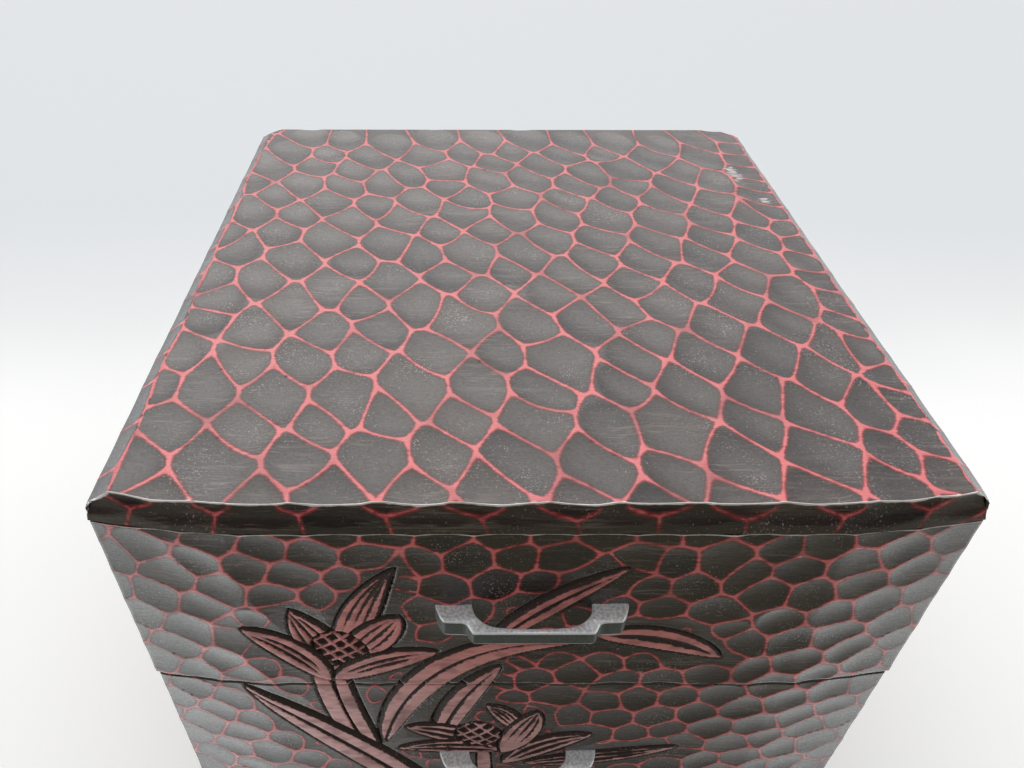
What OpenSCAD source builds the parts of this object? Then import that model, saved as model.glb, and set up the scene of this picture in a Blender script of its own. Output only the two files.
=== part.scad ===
// A small two-drawer table chest: a carcass of pegged boards, two drawers with
// full-width overlay fronts, and a cast pull on each front.
// Millimetres, +Z up. The front faces -Y, and the origin is the middle of the
// underside of the base board.

/* [Chest] */
// Width across the top board
chest_w = 182; // [150:1:240]
// Depth from the middle of the front to the back edge of the top board
chest_d = 194; // [150:1:240]
// Height from the underside of the base board to the top face
chest_h = 148; // [130:1:200]
// Length of the stretch at each end of the front that falls back
end_run = 24; // [15:1:32]
// How far the front falls back at its ends
end_fall = 3.7; // [1:0.1:5]

/* [Carcass boards] */
// Thickness of the top board
top_t = 7; // [7:0.5:12]
// Width of the slope along the side edges of the top board
slope_w = 4; // [3:0.5:7]
// Height of that slope
slope_h = 2.5; // [2:0.5:5]
// Width of the slope across the back corners of the top board, on the diagonal
corner_w = 7; // [6:0.5:9]
// How much deeper that slope goes down than those along the sides
corner_drop = 1; // [0.5:0.5:1.5]
// How far the front edge of the top board leans back over its height
front_lean = 1.4; // [0.5:0.1:3]
// Thickness of the base board
base_t = 7; // [7:0.5:12]
// Thickness of each side panel
side_t = 9; // [8:0.5:12]
// How far the side and back panels stand inside the edge of the top board
carcass_inset = 0.6; // [0.2:0.2:2]
// Thickness of the back panel
back_t = 5; // [4:0.5:7]
// Width of the rebate in each side panel that takes the back panel
rebate_w = 5; // [4:0.5:6]
// Thickness of the divider between the drawers
divider_t = 6; // [5:0.5:8]
// Depth of the housing in each side panel that takes the divider
housing_d = 3; // [2:0.5:4]

/* [Drawers] */
// Height of the upper drawer's front
upper_front_h = 55.7; // [46:0.1:60]
// Thickness of a drawer front at its two ends
front_end_t = 9; // [8.5:0.5:14]
// How much narrower the upper front is than the top board
upper_front_trim = 0.4; // [0.4:0.2:4]
// How much narrower the lower front is than the top board
lower_front_trim = 2; // [0.4:0.2:4]
// Gap above, between and below the drawer fronts
front_gap = 0.5; // [0.3:0.1:1]
// Gap between a closed drawer front and the carcass behind it
stop_gap = 0.3; // [0.2:0.1:1]
// Thickness of the drawer sides
box_side_t = 6; // [5:0.5:8]
// Thickness of the drawer backs
box_back_t = 5.5; // [5:0.5:8]
// How far a drawer back stops below the top of its sides
box_back_drop = 3; // [1:0.5:6]
// Thickness of the drawer bottoms
bottom_t = 3.5; // [2.5:0.5:5]
// Depth of the grooves that hold a drawer bottom
groove_d = 3; // [2:0.5:4]
// Height of a drawer bottom above the lower edge of the drawer sides
bottom_lift = 3; // [2:0.5:5]
// Length of the dovetail on the front end of a drawer side
dovetail_l = 5; // [4:0.5:6]
// How far each flank of the dovetail draws in at its neck
dovetail_neck = 1; // [0.5:0.1:1.5]

/* [Pulls] */
// Width across both feet of a pull
pull_w = 42.4; // [34:0.2:60]
// Width of each foot where it meets the drawer front
foot_w = 8.2; // [7.2:0.2:10]
// Taper of the outer flank of each foot
foot_taper = 2; // [1:0.2:2.6]
// How far the feet stand out from the drawer front
foot_out = 4.2; // [3.8:0.2:6]
// Height of the feet
foot_h = 4.8; // [4.6:0.2:8]
// How far the bar stands out from the drawer front
bar_out = 6.8; // [6.4:0.2:12]
// Thickness of the bar at its middle
bar_t = 1.4; // [1:0.1:2]
// How far each end of the bar slopes out to its foot
bar_step = 1.5; // [0.5:0.1:2.5]
// Height of the bar
bar_h = 4; // [3:0.2:4.6]
// Radius of the arch at each end of the finger gap
arch_r = 4.4; // [3:0.2:5]
// Height of the pulls above the middle of their drawer fronts
pull_rise = 2.2; // [-4:0.2:8]

/* [Fasteners] */
// Diameter of the dowels that join the side panels to the top and base boards
dowel_d = 4; // [3:0.5:5]
// Length of those dowels
dowel_l = 14; // [10:1:20]
// Depth that each dowel enters the top or base board
dowel_in = 5; // [3:0.5:6]
// Distance of the end dowels from the ends of the side panels
dowel_edge = 16; // [8:1:40]
// Diameter of the wooden pegs in the back panel and the drawer backs
peg_d = 2.2; // [1.6:0.2:3]
// Length of those pegs
peg_l = 14; // [12:1:20]
// Distance of the end pegs in the back panel from its top and bottom
back_peg_edge = 18; // [8:1:40]
// Distance of the middle pegs in the back panel below the divider
back_peg_drop = 7.55; // [4:0.05:20]
// Distance of the end pegs in a drawer back from its top and bottom
box_peg_edge = 6.5; // [4:0.5:12]
// Number of dowels in each row, and of pegs on each side of a drawer back
row_count = 3; // [2:1:5]
// Diameter of the screws that hold the pulls
screw_d = 2.5; // [2:0.1:3]
// Depth that each screw enters the foot of a pull
screw_in = 3; // [2:0.2:3.4]
// Diameter of the screw heads
head_d = 4.8; // [4.2:0.2:6]
// Height of the screw heads
head_h = 1.7; // [1.2:0.1:2.4]
// Outer diameter of the washers under the screw heads
washer_d = 6.4; // [6:0.2:8]
// Thickness of the washers
washer_t = 0.5; // [0.4:0.1:1]

/* [Clearances] */
// Side clearance of a drawer in the carcass, on each side
side_play = 0.5; // [0.3:0.1:1]
// Clearance under a drawer
run_play = 0.3; // [0.2:0.1:0.5]
// Clearance over a drawer
head_play = 1; // [0.6:0.1:2]
// Clearance behind a closed drawer
rear_play = 4; // [1:0.5:10]
// Glue line round dowels, pegs and panels
glue = 0.03; // [0.02:0.01:0.06]
// Clearance of the screws in the drawer fronts, on the radius
screw_play = 0.15; // [0.1:0.05:0.3]

/* [Hidden] */
$fn = 48;
over = 1; // overrun of a cut past the face it opens

lacquer = "#4a3a36";
box_wood = "#9a7650";
peg_wood = "#c2a06c";
cast_grey = "#6b6f70";
screw_steel = "#a9a9a4";

// Levels, from the base up
top_z = chest_h - top_t;
lower_z0 = base_t + front_gap;
upper_z1 = top_z - front_gap;
upper_z0 = upper_z1 - upper_front_h;
lower_z1 = upper_z0 - front_gap;
seam_z = (upper_z0 + lower_z1) / 2;
divider_z0 = seam_z - divider_t / 2;
divider_z1 = seam_z + divider_t / 2;

// Planes, from the front to the back
front_y = -chest_d / 2;
back_y = chest_d / 2 - carcass_inset;
front_back_y = front_y + end_fall + front_end_t;
carcass_front_y = front_back_y + stop_gap;
panel_y = back_y - back_t;
box_back_y = panel_y - rear_play;

// Widths
side_out_x = chest_w / 2 - carcass_inset;
side_in_x = side_out_x - side_t;
box_out_x = side_in_x - side_play;
box_in_x = box_out_x - box_side_t;

// Each drawer is [front's lower edge, front's upper edge, front's width,
//                 bottom of the box, top of the box, housing opens upwards]
upper = [upper_z0, upper_z1, chest_w - upper_front_trim,
         divider_z1 + run_play, top_z - head_play, true];
lower = [lower_z0, lower_z1, chest_w - lower_front_trim,
         base_t + run_play, divider_z0 - head_play, false];

function front_lo(drawer) = drawer[0];
function front_hi(drawer) = drawer[1];
function front_w(drawer) = drawer[2];
function box_lo(drawer) = drawer[3];
function box_hi(drawer) = drawer[4];
function opens_up(drawer) = drawer[5];
function panel_lo(drawer) = box_lo(drawer) + bottom_lift;
function panel_hi(drawer) = panel_lo(drawer) + bottom_t;
function pull_z(drawer) = (front_lo(drawer) + front_hi(drawer)) / 2 + pull_rise;

screw_x = pull_w / 2 - foot_w / 2;

// Stations of the dowels and pegs: a row spread evenly over a span, short of
// both its ends by the edge distance
function spread(from, to, edge) =
  [for (i = [0 : row_count - 1]) from + edge + (to - from - 2 * edge) * i / (row_count - 1)];
dowel_y = spread(carcass_front_y, panel_y, dowel_edge);
back_peg_z = [base_t + back_peg_edge, divider_z0 - back_peg_drop, top_z - back_peg_edge];
function box_peg_z(drawer) = spread(panel_hi(drawer), box_hi(drawer) - box_back_drop, box_peg_edge);

// Plan of a board w wide that reaches from the shaped front back to the plane
// y1. Boards of any width have their ends on the same slanting lines
module bowed_plan(w, y1) {
  flat_x = chest_w / 2 - end_run;
  end_y = front_y + end_fall * (w / 2 - flat_x) / end_run;
  polygon([
    [-w / 2, y1], [-w / 2, end_y], [-flat_x, front_y],
    [flat_x, front_y], [w / 2, end_y], [w / 2, y1]
  ]);
}

// Waste along an edge: the edge runs along X at the origin, its board lies
// towards +Y and -Z, and w and h are the width and height that come off
module edge_waste(w, h) {
  reach = chest_w + chest_d;
  rotate([90, 0, 90]) linear_extrude(reach, center = true)
    polygon([[w, 0], [0, -h], [-reach, -h], [-reach, reach], [w, reach]]);
}

// Waste that slopes the side edges and the back corners of the top board
module rim_waste() {
  for (side = [-1, 1]) translate([side * chest_w / 2, 0, 0]) {
    rotate(side * 90) edge_waste(slope_w, slope_h);
    translate([0, chest_d / 2, 0]) rotate(180 - side * 45) edge_waste(corner_w, slope_h + corner_drop);
  }
}

// Waste that leans the front edge of the top board back, at its middle and ends
module front_waste() {
  translate([0, front_y, 0]) edge_waste(front_lean, top_t);
  for (side = [0, 1]) mirror([side, 0, 0])
    translate([chest_w / 2 - end_run, front_y, 0]) rotate(atan2(end_fall, end_run))
      edge_waste(front_lean, top_t);
}

// Dowels standing in both side panels at a level, larger by grow on the radius
module dowel_row(z, grow) {
  for (side = [-1, 1], y = dowel_y)
    translate([side * (side_out_x - side_t / 2), y, z])
      cylinder(d = dowel_d + 2 * grow, h = dowel_l, center = true);
}

// Height of the middle of the dowels in the top board and in the base board
top_dowel_z = top_z + dowel_in - dowel_l / 2;
base_dowel_z = base_t - dowel_in + dowel_l / 2;

// Pegs through the back panel into both side panels, larger by grow, and past
// the face that they are driven into
module back_peg_row(grow, past) {
  for (side = [-1, 1], z = back_peg_z)
    translate([side * (side_in_x + rebate_w / 2), back_y + past, z])
      rotate([90, 0, 0]) cylinder(d = peg_d + 2 * grow, h = peg_l + grow + past);
}

module top_board() {
  color(lacquer) difference() {
    translate([0, 0, top_z]) linear_extrude(top_t) bowed_plan(chest_w, chest_d / 2);
    translate([0, 0, chest_h]) {
      rim_waste();
      front_waste();
    }
    dowel_row(top_dowel_z, glue);
  }
}

module base_board() {
  color(lacquer) difference() {
    linear_extrude(base_t) bowed_plan(chest_w, chest_d / 2);
    dowel_row(base_dowel_z, glue);
  }
}

// Side panel on the right, with the rebate for the back panel and the housing
// for the divider on its inner face
module side_panel() {
  color(lacquer) difference() {
    translate([side_in_x, carcass_front_y, base_t])
      cube([side_t, back_y - carcass_front_y, top_z - base_t]);
    translate([side_in_x - over, panel_y, base_t - over])
      cube([rebate_w + over, back_t + over, top_z - base_t + 2 * over]);
    translate([side_in_x - over, carcass_front_y - over, divider_z0])
      cube([housing_d + over, panel_y - carcass_front_y + 2 * over, divider_t]);
    dowel_row(top_dowel_z, glue);
    dowel_row(base_dowel_z, glue);
    back_peg_row(glue, over);
  }
}

module left_side() {
  mirror([1, 0, 0]) side_panel();
}

module right_side() {
  side_panel();
}

module back_panel() {
  w = 2 * (side_in_x + rebate_w - glue);
  color(lacquer) difference() {
    translate([-w / 2, panel_y, base_t]) cube([w, back_t, top_z - base_t]);
    back_peg_row(glue, over);
  }
}

module divider() {
  w = 2 * (side_in_x + housing_d - glue);
  color(lacquer) translate([-w / 2, carcass_front_y, divider_z0])
    cube([w, panel_y - carcass_front_y, divider_t]);
}

module top_dowels() {
  color(peg_wood) dowel_row(top_dowel_z, 0);
}

module base_dowels() {
  color(peg_wood) dowel_row(base_dowel_z, 0);
}

module back_pegs() {
  color(peg_wood) back_peg_row(0, 0);
}

// Plan of the dovetail on the front end of the right-hand drawer side, larger
// by grow all round, with its neck carried back by grow to open the housing
module dovetail_plan(grow) {
  polygon([
    [box_in_x - grow, front_back_y - dovetail_l - grow],
    [box_out_x + grow, front_back_y - dovetail_l - grow],
    [box_out_x - dovetail_neck + grow, front_back_y + grow],
    [box_in_x + dovetail_neck - grow, front_back_y + grow]
  ]);
}

// Housings in the back of a drawer front for the dovetails of both sides. They
// run out at the edge of the front that the sides slide in from
module dovetail_housings(drawer) {
  z0 = opens_up(drawer) ? box_lo(drawer) - glue : front_lo(drawer) - over;
  z1 = opens_up(drawer) ? front_hi(drawer) + over : box_hi(drawer) + glue;
  for (side = [0, 1]) mirror([side, 0, 0])
    translate([0, 0, z0]) linear_extrude(z1 - z0) dovetail_plan(glue);
}

// A bottom panel that reaches from the plane y0 back to the plane y1, larger by
// grow at its sides and in thickness
module bottom_blank(drawer, y0, y1, grow) {
  w = 2 * (box_in_x + groove_d - glue + grow);
  translate([-w / 2, y0, panel_lo(drawer) - grow]) cube([w, y1 - y0, bottom_t + 2 * grow]);
}

// Axes of the two screws of a pull, pointing into the drawer
module at_screws(drawer) {
  for (side = [-1, 1]) translate([side * screw_x, 0, pull_z(drawer)]) rotate([-90, 0, 0]) children();
}

module drawer_front(drawer) {
  color(lacquer) difference() {
    translate([0, 0, front_lo(drawer)])
      linear_extrude(front_hi(drawer) - front_lo(drawer)) bowed_plan(front_w(drawer), front_back_y);
    dovetail_housings(drawer);
    bottom_blank(drawer, front_back_y - groove_d, front_back_y + over, glue);
    at_screws(drawer) translate([0, 0, front_y - over])
      cylinder(d = screw_d + 2 * screw_play, h = front_back_y - front_y + 2 * over);
  }
}

// Pegs through the drawer sides into the drawer back, larger by grow, and past
// the face that they are driven into
module box_peg_row(drawer, grow, past) {
  for (side = [-1, 1], z = box_peg_z(drawer))
    translate([side * (box_out_x + past), box_back_y - box_back_t / 2, z])
      rotate([0, -side * 90, 0]) cylinder(d = peg_d + 2 * grow, h = peg_l + grow + past);
}

// Right-hand drawer side, with the dovetail at its front and a groove inside
module drawer_side(drawer) {
  color(box_wood) difference() {
    translate([0, 0, box_lo(drawer)]) linear_extrude(box_hi(drawer) - box_lo(drawer)) {
      dovetail_plan(0);
      translate([box_in_x, front_back_y]) square([box_side_t, box_back_y - front_back_y]);
    }
    bottom_blank(drawer, front_back_y - dovetail_l - over, box_back_y + over, glue);
    box_peg_row(drawer, glue, over);
  }
}

module drawer_back(drawer) {
  z0 = panel_hi(drawer) + glue;
  color(box_wood) difference() {
    translate([-box_in_x, box_back_y - box_back_t, z0])
      cube([2 * box_in_x, box_back_t, box_hi(drawer) - box_back_drop - z0]);
    box_peg_row(drawer, glue, over);
  }
}

module drawer_bottom(drawer) {
  color(box_wood) bottom_blank(drawer, front_back_y - groove_d + glue, box_back_y, 0);
}

module drawer_pegs(drawer) {
  color(peg_wood) box_peg_row(drawer, 0, 0);
}

// Plan of one foot on the right, out from the drawer front
module foot_plan() {
  x0 = pull_w / 2 - foot_w;
  polygon([[x0, 0], [pull_w / 2, 0], [pull_w / 2 - foot_taper, -foot_out], [x0, -foot_out]]);
}

// Plan of the bar: a rail whose ends step back to the feet, with an arched
// finger gap behind it
module bar_plan() {
  x0 = pull_w / 2 - foot_w;
  gap_out = bar_out - bar_t;
  difference() {
    polygon([
      [-x0 - bar_step, 0], [x0 + bar_step, 0], [x0 + bar_step, -foot_out], [x0, -bar_out],
      [-x0, -bar_out], [-x0 - bar_step, -foot_out]
    ]);
    translate([-x0 + arch_r, -gap_out]) square([2 * (x0 - arch_r), gap_out + over]);
    translate([-x0, -gap_out + arch_r]) square([2 * x0, gap_out - arch_r + over]);
    for (side = [-1, 1]) translate([side * (x0 - arch_r), -gap_out + arch_r]) circle(arch_r);
  }
}

module drawer_pull(drawer) {
  color(cast_grey) difference() {
    translate([0, front_y, pull_z(drawer)]) {
      linear_extrude(bar_h, center = true) bar_plan();
      for (side = [0, 1]) mirror([side, 0, 0]) linear_extrude(foot_h, center = true) foot_plan();
    }
    at_screws(drawer) translate([0, 0, front_y - screw_in - glue])
      cylinder(d = screw_d + 2 * glue, h = screw_in + glue + over);
  }
}

module pull_screws(drawer) {
  seat = front_back_y + washer_t;
  color(screw_steel) at_screws(drawer) {
    translate([0, 0, front_y - screw_in]) cylinder(d = screw_d, h = seat - front_y + screw_in);
    translate([0, 0, seat]) cylinder(d = head_d, h = head_h);
  }
}

module pull_washers(drawer) {
  color(screw_steel) at_screws(drawer) translate([0, 0, front_back_y]) difference() {
    cylinder(d = washer_d, h = washer_t);
    translate([0, 0, -over]) cylinder(d = screw_d + 2 * screw_play, h = washer_t + 2 * over);
  }
}

// The pieces of the upper drawer, then those of the lower drawer
module upper_front() { drawer_front(upper); }
module upper_box_left() { mirror([1, 0, 0]) drawer_side(upper); }
module upper_box_right() { drawer_side(upper); }
module upper_box_back() { drawer_back(upper); }
module upper_box_bottom() { drawer_bottom(upper); }
module upper_box_pegs() { drawer_pegs(upper); }
module upper_pull() { drawer_pull(upper); }
module upper_pull_screws() { pull_screws(upper); }
module upper_pull_washers() { pull_washers(upper); }

module lower_front() { drawer_front(lower); }
module lower_box_left() { mirror([1, 0, 0]) drawer_side(lower); }
module lower_box_right() { drawer_side(lower); }
module lower_box_back() { drawer_back(lower); }
module lower_box_bottom() { drawer_bottom(lower); }
module lower_box_pegs() { drawer_pegs(lower); }
module lower_pull() { drawer_pull(lower); }
module lower_pull_screws() { pull_screws(lower); }
module lower_pull_washers() { pull_washers(lower); }

top_board();
base_board();
left_side();
right_side();
back_panel();
divider();
top_dowels();
base_dowels();
back_pegs();

upper_front();
upper_box_left();
upper_box_right();
upper_box_back();
upper_box_bottom();
upper_box_pegs();
upper_pull();
upper_pull_screws();
upper_pull_washers();

lower_front();
lower_box_left();
lower_box_right();
lower_box_back();
lower_box_bottom();
lower_box_pegs();
lower_pull();
lower_pull_screws();
lower_pull_washers();
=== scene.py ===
"""Looks of a small carved lacquer chest with two drawers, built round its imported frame.

Sizes inside the classes are millimetres in the chest's own frame: X to the right, Y to the back, Z up, with
the origin in the middle of the underside. Meshes are made in metres.
"""
import logging
import math
from dataclasses import dataclass, field
from enum import Enum
from typing import Optional, Sequence, Union

import bpy
import numpy as np
from mathutils import Matrix, Vector


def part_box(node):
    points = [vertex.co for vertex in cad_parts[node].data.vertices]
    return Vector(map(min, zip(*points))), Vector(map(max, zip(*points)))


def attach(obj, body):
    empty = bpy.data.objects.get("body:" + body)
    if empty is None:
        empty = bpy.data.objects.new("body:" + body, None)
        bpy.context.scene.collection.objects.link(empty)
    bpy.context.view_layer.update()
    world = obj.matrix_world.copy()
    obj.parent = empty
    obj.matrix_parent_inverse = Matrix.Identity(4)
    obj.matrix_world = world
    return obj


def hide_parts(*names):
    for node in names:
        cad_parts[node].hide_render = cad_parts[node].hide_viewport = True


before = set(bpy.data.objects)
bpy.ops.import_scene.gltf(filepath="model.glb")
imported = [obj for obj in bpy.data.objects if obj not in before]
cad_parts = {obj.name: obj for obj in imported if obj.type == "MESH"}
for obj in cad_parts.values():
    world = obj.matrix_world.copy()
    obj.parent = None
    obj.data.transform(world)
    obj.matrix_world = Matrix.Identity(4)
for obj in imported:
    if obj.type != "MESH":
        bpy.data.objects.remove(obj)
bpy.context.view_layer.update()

log = logging.getLogger("chest")

Array = np.ndarray
Point = tuple[float, float]
Colour = tuple[float, float, float]
Level = Union[float, Array]

MM = 0.001
# Share of a grid step within which a grid point is drawn onto a ridge or an outline
SNAP_SHARE = 0.46
# Points that are measured against all the cuts at once
CHUNK = 4000
TINY = 1e-9
# Distance beyond all the shapes, in millimetres
FAR = 1e3


class Body(Enum):
    """The rigid bodies of the chest."""

    CARCASS = "carcass"
    UPPER = "upper_drawer"
    LOWER = "lower_drawer"


class Slot(Enum):
    """The material slots of the chest's record."""

    CARVED = "carved_lacquer"
    PLAIN = "plain_lacquer"
    BOX = "box_wood"
    PEG = "peg_wood"
    CAST = "cast_metal"
    SCREW = "screw_steel"


def node_box(node: str) -> tuple[Array, Array]:
    """Corners of a CAD node.

    Args:
        node: Name of the node.

    Returns:
        Its lowest and highest corner, in millimetres.
    """
    low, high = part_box(node)
    return np.array(low) / MM, np.array(high) / MM


def smooth_step(low: Level, high: Level, value: Array) -> Array:
    """Rise from 0 at low to 1 at high along 3t^2 - 2t^3.

    Args:
        low: Where the rise starts.
        high: Where it ends.
        value: Values to map.

    Returns:
        The smoothed share of the rise, from 0 to 1.
    """
    t = np.clip((value - low) / np.maximum(np.asarray(high) - low, TINY), 0.0, 1.0)
    return t * t * (3.0 - 2.0 * t)


def span(low: float, high: float, step: float) -> Array:
    """Even stations from low to high, about one step apart."""
    return np.linspace(low, high, max(2, int(round((high - low) / step)) + 1))


def length(vectors: Array) -> Array:
    """Length of each row of an array of vectors."""
    return np.sqrt((vectors * vectors).sum(axis=-1))


def grid_triangles(rows: int, columns: int, crease: Array, closed: bool = False) -> Array:
    """Two triangles for each cell of a grid of points.

    The diagonal of a cell joins the two opposite corners that lie nearer a crease, so that it runs along it.

    Args:
        rows: Number of rows of points.
        columns: Number of points in a row.
        crease: Distance of each point from the nearest crease.
        closed: Whether each row is a loop.

    Returns:
        Corner numbers of the triangles, turning left from the columns towards the rows.
    """
    index = np.arange(rows * columns).reshape(rows, columns)
    if closed:
        index = np.concatenate([index, index[:, :1]], axis=1)
    a, b, c, d = index[:-1, :-1], index[:-1, 1:], index[1:, 1:], index[1:, :-1]
    along = (crease[a] + crease[c] <= crease[b] + crease[d])[..., None]
    first = np.where(along, np.stack([a, b, c], -1), np.stack([a, b, d], -1))
    second = np.where(along, np.stack([a, c, d], -1), np.stack([b, c, d], -1))
    return np.concatenate([first.reshape(-1, 3), second.reshape(-1, 3)])


def new_piece(name: str, points: Array, faces: Sequence[Array], layers: dict[str, Array],
              crease_deg: float = 50.0) -> bpy.types.Object:
    """Make a mesh object at the origin.

    Args:
        name: Name of the piece.
        points: Its points, in millimetres.
        faces: Arrays of faces, each array with one number of corners.
        layers: Values per point that the finishes read, by attribute name.
        crease_deg: Angle above which an edge is shaded as a sharp one.

    Returns:
        The linked object.
    """
    mesh = bpy.data.meshes.new(name)
    corners = np.concatenate([f.ravel() for f in faces]).astype(np.int32)
    sizes = np.concatenate([np.full(len(f), f.shape[1]) for f in faces])
    starts = np.concatenate([[0], np.cumsum(sizes)[:-1]]).astype(np.int32)
    mesh.vertices.add(len(points))
    mesh.vertices.foreach_set("co", (points * MM).astype(np.float32).ravel())
    mesh.loops.add(len(corners))
    mesh.loops.foreach_set("vertex_index", corners)
    mesh.polygons.add(len(starts))
    mesh.polygons.foreach_set("loop_start", starts)
    for layer, values in layers.items():
        attribute = mesh.attributes.new(layer, "FLOAT", "POINT")
        attribute.data.foreach_set("value", values.astype(np.float32))
    mesh.update(calc_edges=True)
    mesh.validate()
    mesh.shade_smooth()
    mesh.set_sharp_from_angle(angle=math.radians(crease_deg))
    piece = bpy.data.objects.new(name, mesh)
    bpy.context.scene.collection.objects.link(piece)
    return piece


def stand_for(piece: bpy.types.Object, node: str, body: Body, finish: bpy.types.Material) -> None:
    """Dress a piece and let it stand for a CAD node.

    Args:
        piece: The piece.
        node: The node that it stands for.
        body: The body that it rides on.
        finish: Its material.
    """
    piece.data.materials.append(finish)
    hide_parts(node)
    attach(piece, body.value)
    log.info("%s: %d faces for %s", piece.name, len(piece.data.polygons), node)


@dataclass
class Relief:
    """What the carving does at a set of points.

    Attributes:
        height: Height over the face in millimetres, below 0 in the wood.
        red: How far a point lies inside the rubbed-through red, in millimetres, below 0 outside it.
        tone: A tone from 0 to 1, the same over one cut.
        crease: Distance to the nearest ridge or outline, in millimetres.
        step: Step that takes the point onto that line.
        motif: 1 on the spray, 0.5 on the belt of fine strokes round it, 0 elsewhere.
    """

    height: Array
    red: Array
    tone: Array
    crease: Array
    step: Array
    motif: Array


@dataclass
class Lowest:
    """The three lowest surfaces at each of a set of points, from the lowest up.

    Attributes:
        height: Their heights.
        slope: Their slopes.
        number: Their numbers among the cuts, -1 for a surface that is none of them.
    """

    height: Array
    slope: Array
    number: Array

    def beside(self, height: Array, slope: Array) -> "Lowest":
        """The three lowest once another surface lies beside the cuts.

        Args:
            height: Height of that surface.
            slope: Its slope.

        Returns:
            The three lowest of the four.
        """
        heights = np.column_stack([self.height, height])
        slopes = np.concatenate([self.slope, slope[:, None]], axis=1)
        numbers = np.column_stack([self.number, np.full(len(height), -1)])
        order = np.argsort(heights, axis=1)[:, :3]
        return Lowest(np.take_along_axis(heights, order, axis=1),
                      np.take_along_axis(slopes, order[..., None], axis=1),
                      np.take_along_axis(numbers, order, axis=1))

    def towards(self, other: int) -> tuple[Array, Array]:
        """Distance and step to the ridge between the lowest surface and another one.

        With a gap g between them and a difference of slope t, the ridge is g / |t| away, and the step to it
        is -g t / |t|^2.

        Args:
            other: 1 for the second lowest surface, 2 for the third.

        Returns:
            The distance and the step for each point.
        """
        gap = self.height[:, other] - self.height[:, 0]
        turn = self.slope[:, other] - self.slope[:, 0]
        steep = np.maximum((turn * turn).sum(-1), TINY)
        return gap / np.sqrt(steep), -(gap / steep)[:, None] * turn


@dataclass
class CutField:
    """Gouge cuts side by side on a flat domain.

    With q = p - centre, a cut is the paraboloid
    f(p) = floor + slope.q + (kxx qx^2 + 2 kxy qx qy + kyy qy^2) / 2.
    The carved surface is the lowest cut at each point, so a ridge stands where the two lowest cuts are level.
    """

    centre: Array
    curve: Array
    slope: Array
    floor: Array
    tone: Array

    @classmethod
    def strokes(cls, centre: Array, heading: Array, across_r: Level, along_r: Level, floor: Array,
                tone: Array, slope: Optional[Array] = None) -> "CutField":
        """Cuts of one gouge.

        Args:
            centre: Middle of each cut.
            heading: Angle of each stroke, in radians.
            across_r: Radius of the hollow across the stroke.
            along_r: Radius of the hollow along the stroke.
            floor: Height of the middle of each cut.
            tone: Tone of each cut.
            slope: Slope of each cut at its middle, if the ground leans there.

        Returns:
            The field of cuts.
        """
        c, s = np.cos(heading), np.sin(heading)
        along, across = 1.0 / along_r, 1.0 / across_r
        curve = np.stack([along * c * c + across * s * s, (along - across) * c * s,
                          along * s * s + across * c * c], -1)
        return cls(centre, curve, np.zeros_like(centre) if slope is None else slope, floor, tone)

    def joined(self, other: "CutField") -> "CutField":
        """This field and another one as a single field."""
        parts = ((self.centre, other.centre), (self.curve, other.curve), (self.slope, other.slope),
                 (self.floor, other.floor), (self.tone, other.tone))
        return CutField(*(np.concatenate(p) for p in parts))

    def lowest(self, points: Array) -> Lowest:
        """The three lowest cuts at each point."""
        trios, heights = [], []
        for start in range(0, len(points), CHUNK):
            q = points[start:start + CHUNK, None, :] - self.centre[None]
            qx, qy = q[..., 0], q[..., 1]
            f = self.floor + self.slope[:, 0] * qx + self.slope[:, 1] * qy + 0.5 * (
                self.curve[:, 0] * qx * qx + 2.0 * self.curve[:, 1] * qx * qy + self.curve[:, 2] * qy * qy)
            trio = np.argpartition(f, 2, axis=1)[:, :3]
            height = np.take_along_axis(f, trio, axis=1)
            order = np.argsort(height, axis=1)
            trios.append(np.take_along_axis(trio, order, axis=1))
            heights.append(np.take_along_axis(height, order, axis=1))
        number = np.concatenate(trios)
        q, k = points[:, None, :] - self.centre[number], self.curve[number]
        slope = np.stack([k[..., 0] * q[..., 0] + k[..., 1] * q[..., 1],
                          k[..., 1] * q[..., 0] + k[..., 2] * q[..., 1]], -1)
        return Lowest(np.concatenate(heights), self.slope[number] + slope, number)


@dataclass(frozen=True)
class Rubbing:
    """How wide the red shows along a ridge.

    Attributes:
        thin: Half the width of the line between two cuts.
        fillet: How much wider it grows where three cuts meet.
        reach: How far from there it starts to widen.
    """

    thin: float
    fillet: float
    reach: float

    def red(self, low: Lowest) -> Array:
        """How far points lie inside the red along the ridges, below 0 outside it."""
        junction = np.clip(1.0 - low.towards(2)[0] / self.reach, 0.0, 1.0)
        return self.thin + self.fillet * junction - low.towards(1)[0]


@dataclass
class Ground:
    """A face covered with gouge cuts.

    Attributes:
        cuts: The cuts, with their floors at about 0.
        rubbing: How the red shows on the ridges.
        depth: Height of the face over the floors of the cuts.
    """

    cuts: CutField
    rubbing: Rubbing
    depth: float

    def relief(self, points: Array) -> Relief:
        """The carving at points of the face."""
        low = self.cuts.lowest(points)
        ridge, step = low.towards(1)
        red = self.rubbing.red(low)
        height = np.minimum(low.height[:, 0] - self.depth, 0.0)
        return Relief(height, red, self.cuts.tone[low.number[:, 0]], ridge, step, np.zeros_like(red))


@dataclass
class Shape:
    """One shape of the spray at a set of points.

    Attributes:
        out: Distance outside its outline, below 0 inside.
        away: Direction away from it.
        height: Its own height inside the outline.
        red: How far inside its red a point lies.
    """

    out: Array
    away: Array
    height: Array
    red: Array


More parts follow.
